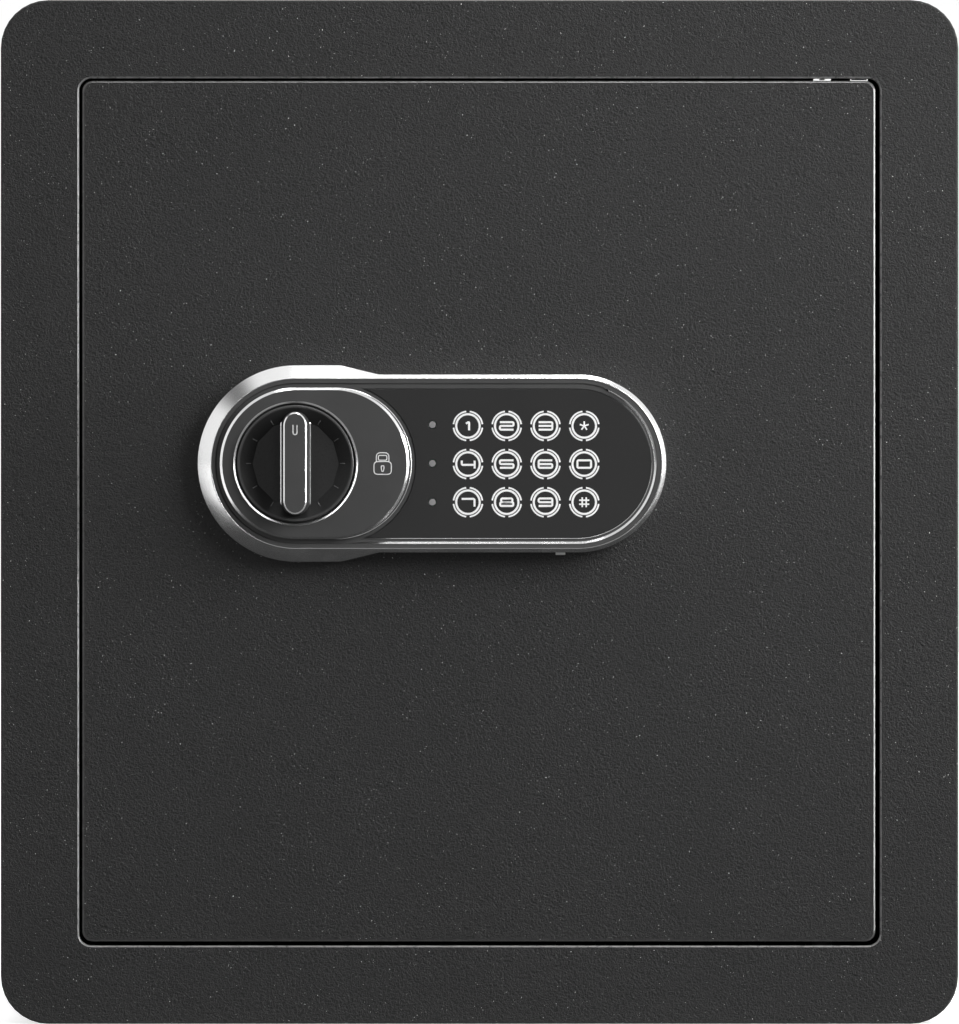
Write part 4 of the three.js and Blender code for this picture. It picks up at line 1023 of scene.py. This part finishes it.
def make_cover():
    """The oval cover: a satin face with a bright chamfer, on a ledge whose two pegs hold it."""
    reach = COVER_STRAIGHT - COVER_STEP
    face = oval_slab("cover_face", reach, COVER_FRONT, LEDGE_FRONT, COVER_CHAMFER, COVER_LEAN)
    flare_hole(face, COVER_FRONT)
    finish_piece(face, "lock_cover", "satin_grey", "lock_cover", degrees=COVER_SHARP)
    flare = COVER_HOLE + COVER_FLARE
    paint(face, "chrome", CHAMFER_SLANT)
    paint(face, "chrome", lambda f: FLARE_SLANT(f) and from_axis(f.center) < flare)
    base = oval_slab("cover_ledge", COVER_STRAIGHT, LEDGE_FRONT, COVER_BACK, LEDGE_CHAMFER)
    start, end = COVER_BACK - PEG_START, COVER_BACK + PEG_LENGTH
    for side in (-1, 1):
        peg = rod("peg", PEG_RADIUS, PEG_X, KNOB.z + side * PEG_RISE, start, end, 32)
        carve(base, peg, "UNION")
    finish_piece(base, "lock_cover", "satin_grey")
    paint(base, "chrome", CHAMFER_SLANT)


KNOB_SIDES = 120
KNOB_RADIUS = 21.8 * MM
KNOB_BACK = PANEL_BACK - 12.7 * MM
KNOB_RIM = PANEL_BACK - 19.6 * MM
KNOB_EDGE = 0.3 * MM
KNOB_LAND = 0.5 * MM
KNOB_LIP = 0.3 * MM
DISH_FACETS = 12
DISH_MOUTH = KNOB_RADIUS - KNOB_EDGE - KNOB_LAND - KNOB_LIP
DISH_FLOOR = 16.2 * MM
DISH_DEPTH = 4.0 * MM
RIB_RADIUS = 0.15 * MM
RIB_LENGTH = 2.4 * MM
RIB_PLACE = 17.6 * MM
# Half the width and half the height of the bar, the second without its round end
GRIP_FOOT = (5.7 * MM, 14.3 * MM)
GRIP_LIFT = 0.1 * MM
GRIP_STEP = 0.45 * MM
GRIP_STEP_EDGE = 0.32 * MM
GRIP_STEP_DROP = 0.19 * MM
GRIP_STEP_LAND = 0.1 * MM
GRIP_TOP = (4.35 * MM, 19.0 * MM)
GRIP_EDGE = 0.5 * MM


def make_dial():
    """The knob's disc: a fine double rim and a dish whose twelve facets run down to a flat floor."""
    floor = KNOB_RIM + DISH_DEPTH
    piece = disc("knob_dial", KNOB_RADIUS, KNOB_BACK, KNOB_SIDES, half_step=False)
    edit(piece)
    pick_all()
    extrude(KNOB_RIM + KNOB_EDGE - KNOB_BACK)
    inset(KNOB_EDGE, KNOB_EDGE)
    inset(KNOB_LAND)
    inset(KNOB_LIP, -KNOB_LIP)
    bpy.ops.mesh.delete(type="ONLY_FACE")
    bpy.ops.mesh.select_all(action="DESELECT")
    circle(DISH_FLOOR, floor, DISH_FACETS)
    bpy.ops.mesh.subdivide(number_cuts=KNOB_SIDES // DISH_FACETS - 1)
    inner = DISH_MOUTH + 0.1 * MM
    pick(lambda e: not e.is_manifold and all(from_axis(v.co) < inner for v in e.verts), "EDGE")
    bpy.ops.mesh.bridge_edge_loops()
    pick(lambda e: not e.is_manifold and lies_at(e, floor), "EDGE")
    bpy.ops.mesh.edge_face_add()
    mend(piece)
    finish_piece(piece, "knob", "dial_black", "knob", degrees=14)
    outside = DISH_MOUTH - 0.05 * MM
    paint(piece, "satin_grey", lambda f: from_axis(f.center) > outside)


def make_dish_ribs():
    """A fine light rib on each crease of the dish, modelled once and turned round the knob's axis; its
    light grey is a painted highlight along the crease.
    """
    steepness = (DISH_DEPTH - KNOB_LIP) / (DISH_MOUTH - DISH_FLOOR)
    along = Vector((1, -steepness, 0))
    depth = KNOB_RIM + DISH_DEPTH - (RIB_PLACE - DISH_FLOOR) * steepness
    bpy.ops.mesh.primitive_cylinder_add(
        vertices=8,
        radius=RIB_RADIUS,
        depth=RIB_LENGTH,
        location=(KNOB.x + RIB_PLACE, depth, KNOB.z),
        rotation=along.to_track_quat("Z", "Y").to_euler(),
    )
    first = added("dish_ribs")
    edit(first)
    pick_all()
    bpy.ops.mesh.bevel(offset=RIB_RADIUS * 0.4, segments=2, affect="EDGES")
    rest_all()
    ribs = [first]
    for number in range(1, DISH_FACETS):
        take(first)
        bpy.ops.object.duplicate()
        rib = bpy.context.object
        turn = 2 * pi * number / DISH_FACETS
        bpy.ops.transform.rotate(value=turn, orient_axis="Y", center_override=tuple(KNOB))
        ribs.append(settle(rib))
    take(first)
    for rib in ribs:
        rib.select_set(True)
    bpy.ops.object.join()
    # Painted highlight: the ribs are light grey in the black dish, standing in for light caught on the
    # creases
    finish_piece(first, "knob", "light_grey", slot="satin_grey", degrees=50)


def make_grip():
    """The knob's bar: a low step at its foot, tapered sides and bright top edges."""
    radius, half = GRIP_FOOT
    foot = KNOB_RIM + DISH_DEPTH + GRIP_LIFT
    piece = disc("knob_grip", radius, foot, 96)
    edit(piece)
    for side in (1, -1):
        pick(lambda v: side * (v.co.z - KNOB.z) > 0, "VERT")
        shift(z=side * half)
    pick_all()
    extrude(-GRIP_STEP)
    inset(GRIP_STEP_EDGE, GRIP_STEP_DROP)
    inset(GRIP_STEP_LAND)
    step = foot - GRIP_STEP - GRIP_STEP_DROP
    top = GRIP_FACE + GRIP_EDGE
    extrude(top - step)
    shrink = GRIP_STEP_EDGE + GRIP_STEP_LAND
    wide, tall = GRIP_TOP
    scale = (wide / (radius - shrink), 1, tall / (radius + half - shrink))
    scale_about((KNOB.x, top, KNOB.z), scale)
    inset(GRIP_EDGE, GRIP_EDGE)
    mend(piece)
    finish_piece(piece, "knob", "satin_grey")
    paint(piece, "chrome", slanted(0.5, 0.95))


ARC_STEP = 6
CORNER_STEPS = (0, 0.25, 0.5, 0.75, 1)


def arc(x, z, radius, start, end):
    """Points along an arc round a centre, in degrees."""
    count = round((end - start) / ARC_STEP)
    angles = [radians(start + (end - start) * i / count) for i in range(count + 1)]
    return [(x + radius * cos(a), z + radius * sin(a)) for a in angles]


def placed(x, z, points):
    """Points in millimetres, moved to a centre."""
    return [(x + px * MM, z + pz * MM) for px, pz in points]


def eased(points, radius, closed=False):
    """A line through points whose corners are rounded."""
    count = len(points)
    made = []
    for i, here in enumerate(points):
        if not closed and i in (0, count - 1):
            made.append(here)
            continue
        corner = Vector(here)
        before = Vector(points[i - 1]) - corner
        after = Vector(points[(i + 1) % count]) - corner
        cut = min(radius, before.length / 2, after.length / 2)
        start, end = corner + before.normalized() * cut, corner + after.normalized() * cut
        for t in CORNER_STEPS:
            made.append(tuple(start * (1 - t) ** 2 + corner * 2 * t * (1 - t) + end * t * t))
    return made


def strokes(name, paths, width, y, thickness, body, finish):
    """Flat strokes on a front face, each a closed or open line of points in X and Z."""
    line = bpy.data.curves.new(name, "CURVE")
    line.dimensions = "3D"
    for closed, points in paths:
        spline = line.splines.new("POLY")
        spline.points.add(len(points) - 1)
        for point, (x, z) in zip(spline.points, points):
            point.co = (x, y, z, 1)
        spline.use_cyclic_u = closed
    line.bevel_depth = width / 2
    line.bevel_resolution = 2
    line.use_fill_caps = True
    take(linked(name, line))
    bpy.ops.object.convert(target="MESH")
    piece = bpy.context.object
    edit(piece)
    pick_all()
    scale_about((0, y, 0), (1, thickness / width, 1))
    mend(piece)
    finish_piece(piece, body, finish, degrees=50)


WIDE = 2.55
TALL = 1.4
TOP_LEFT, TOP_RIGHT = (-WIDE, TALL), (WIDE, TALL)
LEFT, RIGHT = (-WIDE, 0), (WIDE, 0)
FOOT_LEFT, FOOT_RIGHT = (-WIDE, -TALL), (WIDE, -TALL)
STAR_ARMS = [radians(90 + 72 * number) for number in range(5)]
NUMERALS = {
    "1": [[(-0.75, 0.85), (0.4, 1.6), (0.4, -1.65)]],
    "2": [[TOP_LEFT, TOP_RIGHT, RIGHT, LEFT, FOOT_LEFT, FOOT_RIGHT]],
    "3": [[TOP_LEFT, TOP_RIGHT, FOOT_RIGHT, FOOT_LEFT], [LEFT, RIGHT]],
    "4": [[(-2.35, 1.3), (-2.35, -0.3), (2.5, -0.3)], [(2.5, 1.3), (2.5, -1.65)]],
    "5": [[TOP_RIGHT, TOP_LEFT, LEFT, RIGHT, FOOT_RIGHT, FOOT_LEFT]],
    "6": [[TOP_RIGHT, TOP_LEFT, FOOT_LEFT, FOOT_RIGHT, RIGHT, LEFT]],
    "7": [[(-2.35, 1.25), (2.45, 1.25), (2.45, -1.65)]],
    "8": [
        [(-2.1, TALL), (2.1, TALL), (2.1, 0), (-2.1, 0)],
        [(-2.45, 0), (2.45, 0), (2.45, -TALL), (-2.45, -TALL)],
    ],
    "9": [[FOOT_LEFT, FOOT_RIGHT, TOP_RIGHT, TOP_LEFT, LEFT, RIGHT]],
    "0": [[TOP_LEFT, TOP_RIGHT, FOOT_RIGHT, FOOT_LEFT]],
    "star": [[(0, 0), (1.75 * cos(a), 1.75 * sin(a))] for a in STAR_ARMS],
    "hash": [
        *([(x, -1.85), (x, 1.85)] for x in (-0.75, 0.75)),
        *([(-1.9, z), (1.9, z)] for z in (0.75, -0.75)),
    ],
}
FINE_SIGNS = ("star", "hash")
CLOSED_NUMERALS = ("8", "0")
ROW_DROP = -0.23 * MM
KEY_ROWS = (("1", "2", "3", "star"), ("4", "5", "6", "0"), ("7", "8", "9", "hash"))
RING_GAP = 7.0
OUTER_RING = 1.04 * MM
OUTER_STROKE = 0.62 * MM
FINE_STROKE = 0.58 * MM
NUMERAL_CORNER = 0.55 * MM
INK_THICKNESS = 0.06 * MM
NUMERAL_THICKNESS = 0.07 * MM


def printed(name, paths, width, thickness=INK_THICKNESS):
    """White strokes on the glass."""
    strokes(name, paths, width, LENS_FRONT, thickness, "door", "panel_ink")


def make_key(label, x, z, look):
    """One printed touch key: a ring, four arcs round it and its numeral."""
    outer = look.key_radius + OUTER_RING
    arcs = [arc(x, z, outer, start + RING_GAP, start + 90 - RING_GAP) for start in (0, 90, 180, 270)]
    printed(f"key_arcs_{label}", [(False, points) for points in arcs], OUTER_STROKE)
    circle = arc(x, z, look.key_radius, 0, 360 - ARC_STEP)
    printed(f"key_ring_{label}", [(True, circle)], look.stroke)
    closed = label in CLOSED_NUMERALS
    lines = []
    for points in NUMERALS[label]:
        moved = placed(x, z, points)
        lines.append((closed, eased(moved, NUMERAL_CORNER, closed) if len(moved) > 2 else moved))
    width = FINE_STROKE if label in FINE_SIGNS else look.stroke
    printed(f"key_numeral_{label}", lines, width, NUMERAL_THICKNESS)


PADLOCK_X = -36.3 * MM
PADLOCK = (
    (True, [(-3.25, 0.7), (3.25, 0.7), (3.25, -4.1), (-3.25, -4.1)], 1.5),
    (False, [(-2.35, 0.8), (-2.35, 4.0), (2.35, 4.0), (2.35, 0.8)], 2.0),
    (True, [(-1.6, 1.2), (-1.6, 3.0), (1.6, 3.0), (1.6, 1.2)], 0.6),
    (True, [(-0.5, -0.9), (0.5, -0.9), (0.5, -1.9), (0.25, -3.0), (-0.25, -3.0), (-0.5, -1.9)], 0.3),
)
# Painted highlight: the pointer is a light U along the sides and foot of a groove, left open where its
# top edge is unlit
POINTER_GROOVE_HIGHLIGHT = [(-0.75, 14.3), (-0.75, 10.7), (0.75, 10.7), (0.75, 14.3)]
POINTER_CORNER = 0.75 * MM
POINTER_THICKNESS = 0.08 * MM
MARK_STROKE = 0.36 * MM


def make_marks():
    """The padlock outline on the cover, and on the bar a pointer that is a painted highlight: light
    strokes along the sides and foot of a groove, open at its unlit top.
    """
    paths = []
    for closed, points, radius in PADLOCK:
        paths.append((closed, eased(placed(PADLOCK_X, KNOB.z, points), radius * MM, closed)))
    strokes("padlock_mark", paths, MARK_STROKE, COVER_FRONT, INK_THICKNESS, "lock_cover", "mark_grey")
    paths = [(False, eased(placed(KNOB.x, KNOB.z, POINTER_GROOVE_HIGHLIGHT), POINTER_CORNER))]
    strokes("pointer_groove_highlight", paths, MARK_STROKE, GRIP_FACE, POINTER_THICKNESS, "knob", "mark_grey")


PANEL_PARTS = (
    ("panel_face", "panel_shell", "dark_plastic", 0.12),
    ("keypad_lens", "keypad_glass", "lens_black", 0.12),
    *alike("indicator_light", "status_light", "light_grey", 0.15, 1, 2, 3),
    ("power_port_cover", "power_flap", "nylon", 0.15),
)


class SAFE_OT_panel(bpy.types.Operator):
    """Makes the lock panel: rim, face, rings, glass, lights and power flap"""

    bl_idname = "safe.panel"
    bl_label = "Lock panel"

    def execute(self, context):
        make_rim()
        make_rings()
        refine_all(PANEL_PARTS, 2)
        return {"FINISHED"}


class SAFE_OT_keys(bpy.types.Operator):
    """Prints the twelve touch keys on the glass"""

    bl_idname = "safe.keys"
    bl_label = "Touch keys"

    def execute(self, context):
        look = context.scene.safe_panel
        for row, labels in enumerate(KEY_ROWS):
            for column, label in enumerate(labels):
                x = look.first_key + column * look.key_pitch
                make_key(label, x, KNOB.z + ROW_DROP + (1 - row) * look.row_pitch, look)
        return {"FINISHED"}


class SAFE_OT_knob(bpy.types.Operator):
    """Makes the oval cover, the knob and the marks on them"""

    bl_idname = "safe.knob"
    bl_label = "Cover and knob"

    def execute(self, context):
        make_cover()
        make_dial()
        make_dish_ribs()
        make_grip()
        make_marks()
        return {"FINISHED"}


SENSOR = 36.0
FRAME_HEIGHT = 385 * MM
WHITE = (1, 1, 1, 1)
CAMERA_SIDE = 0.08
SIDE_REACH = (-0.7, -0.1)
DARK_CARD = (-0.656, 0.06, 0.755)
CARD_LEVEL = 0.15
CARD_REACH = (0.06, 0.32)
FLOOR_GLOW = 0.65
NEAR_GLOW = 0.32
FLOOR_NEAR = grey(0.06)
NEAR_REACH = (-0.155, -0.115)
AIM = (0, FRONT, FRAME_HEIGHT / 2)
AIM_TOP = (0, FRONT, FRAME_HEIGHT)
AIM_UPPER = (0, FRONT, 0.25)
# Each lamp: name, place, point it looks at, size, power and its share, spread and roll in degrees
LAMPS = (
    ("lamp_right", (0.62, -0.74, 0.62), AIM_UPPER, (0.6, 0.6), "key_power", 1, 100),
    ("lamp_left", (-1.6, -1.6, 0.6), AIM, (1.2, 1.1), "fill_power", 1, 180),
    ("edge_right", (1.3, -0.33, 0.35), AIM, (0.1, 0.8), "edge_power", 1, 60),
    ("edge_top", (0.1, -0.34, 1.6), AIM_TOP, (1.2, 0.1), "edge_power", 0.5, 60),
    ("strip", (2 * KNOB.x - 0.6, -2.44, 0.57), AIM, (0.16, 0.8), "strip_power", 1, 180, -31),
    ("strip", (2 * KNOB.x + 0.6, -2.44, 0.57), AIM, (0.16, 0.8), "strip_power", 1, 180, 31),
)


def add_camera(look):
    """A long lens, level with the middle of the front, that the front fills from edge to edge."""
    data = bpy.data.cameras.new("camera")
    data.sensor_width = SENSOR
    data.lens = SENSOR * look.distance / FRAME_HEIGHT
    data.clip_end = 100
    camera = linked("camera", data)
    camera.location = (0, FRONT - look.distance, FRAME_HEIGHT / 2)
    camera.rotation_euler = (QUARTER, 0, 0)
    bpy.context.scene.camera = camera


def add_lamp(look, name, place, aim, size, power, share, spread, roll=0):
    """A soft rectangular lamp that looks at a point, with a share of one of the powers."""
    data = bpy.data.lights.new(name, "AREA")
    data.shape = "RECTANGLE"
    data.size, data.size_y = size
    data.energy = getattr(look, power) * share
    data.spread = radians(spread)
    lamp = linked(name, data)
    lamp.location = place
    turn = (Vector(aim) - Vector(place)).to_track_quat("-Z", "Y")
    lamp.rotation_euler = (turn @ Quaternion((0, 0, 1), radians(roll))).to_euler()


def add_world():
    """A white surrounding that darkens towards the camera, with a dark card at the upper left."""
    world = bpy.data.worlds.new("studio")
    world.use_nodes = True
    bpy.context.scene.world = world
    mix = Mixer(world.node_tree)
    place = mix.nodes.new("ShaderNodeTexCoord").outputs["Generated"]
    soft = {"interpolation_type": "SMOOTHSTEP"}
    level = mix.between(mix.axis(place, "Y"), *SIDE_REACH, CAMERA_SIDE, 1, **soft)
    away = mix.fed("VectorMath", "Value", {0: place, 1: DARK_CARD}, operation="DISTANCE")
    card = mix.between(away, *CARD_REACH, CARD_LEVEL, 1, **soft)
    background = mix.nodes["Background"].inputs
    mix.links.new(mix.maths("MULTIPLY", level, card), background["Strength"])
    background["Color"].default_value = WHITE


def add_floor(look):
    """A wide pale floor that keeps the safe's shadow, and throws little light up at its front."""
    bpy.ops.mesh.primitive_plane_add(size=24, location=(0, 0, 0))
    floor = bpy.context.object
    floor.name = "floor"
    pale = tuple(look.floor)
    mix = Finish("floor", pale, 0.9)
    pale = mix.blend(mix.between(mix.noise(0.4), *MOST), shaded(pale, 0.98), pale)
    near = mix.between(mix.axis(mix.place, "Y"), *NEAR_REACH)
    path = mix.nodes.new("ShaderNodeLightPath").outputs
    seen = path["Is Camera Ray"]
    lit = mix.maths("MAXIMUM", near, seen)
    mix.feed("Base Color", mix.blend(lit, FLOOR_NEAR, pale))
    for output in ("Is Glossy Ray", "Is Transmission Ray"):
        seen = mix.maths("MAXIMUM", seen, path[output])
    level = mix.between(lit, 0, 1, FLOOR_GLOW * NEAR_GLOW, FLOOR_GLOW)
    mix.shader.inputs["Emission Color"].default_value = WHITE
    mix.feed("Emission Strength", mix.maths("MULTIPLY", seen, level))
    floor.data.materials.append(FINISHES["floor"])


class SAFE_OT_studio(bpy.types.Operator):
    """Sets the camera, the lamps, the floor and the white surrounding"""

    bl_idname = "safe.studio"
    bl_label = "Studio"

    def execute(self, context):
        look = context.scene.safe_studio
        add_camera(look)
        add_world()
        add_floor(look)
        for lamp in LAMPS:
            add_lamp(look, *lamp)
        context.scene.view_settings.view_transform = "Standard"
        return {"FINISHED"}


STEPS = ("finishes", "cabinet", "mat", "door", "lock_work", "panel", "keys", "knob", "studio")
LOOKS = {"safe_coat": CoatLook, "safe_panel": PanelLook, "safe_studio": StudioLook}


class SAFE_PT_panel(bpy.types.Panel):
    """Lists the steps that dress the safe"""

    bl_label = "Safe"
    bl_idname = "SAFE_PT_panel"
    bl_space_type = "VIEW_3D"
    bl_region_type = "UI"
    bl_category = "Safe"

    def draw(self, context):
        layout = self.layout
        for step in STEPS:
            layout.operator(f"safe.{step}")
        for look in LOOKS:
            group = getattr(context.scene, look)
            box = layout.box()
            for name in group.bl_rna.properties.keys():
                if name not in ("rna_type", "name"):
                    box.prop(group, name)


CLASSES = (
    *LOOKS.values(),
    SAFE_OT_finishes,
    SAFE_OT_cabinet,
    SAFE_OT_mat,
    SAFE_OT_door,
    SAFE_OT_lock_work,
    SAFE_OT_panel,
    SAFE_OT_keys,
    SAFE_OT_knob,
    SAFE_OT_studio,
    SAFE_PT_panel,
)


def register():
    for each in CLASSES:
        bpy.utils.register_class(each)
    for name, look in LOOKS.items():
        setattr(bpy.types.Scene, name, PointerProperty(type=look))


def unregister():
    for name in LOOKS:
        delattr(bpy.types.Scene, name)
    for each in reversed(CLASSES):
        bpy.utils.unregister_class(each)


def main():
    """Registers the add-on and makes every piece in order."""
    register()
    for step in STEPS:
        getattr(bpy.ops.safe, step)()


if __name__ == "__main__":
    main()
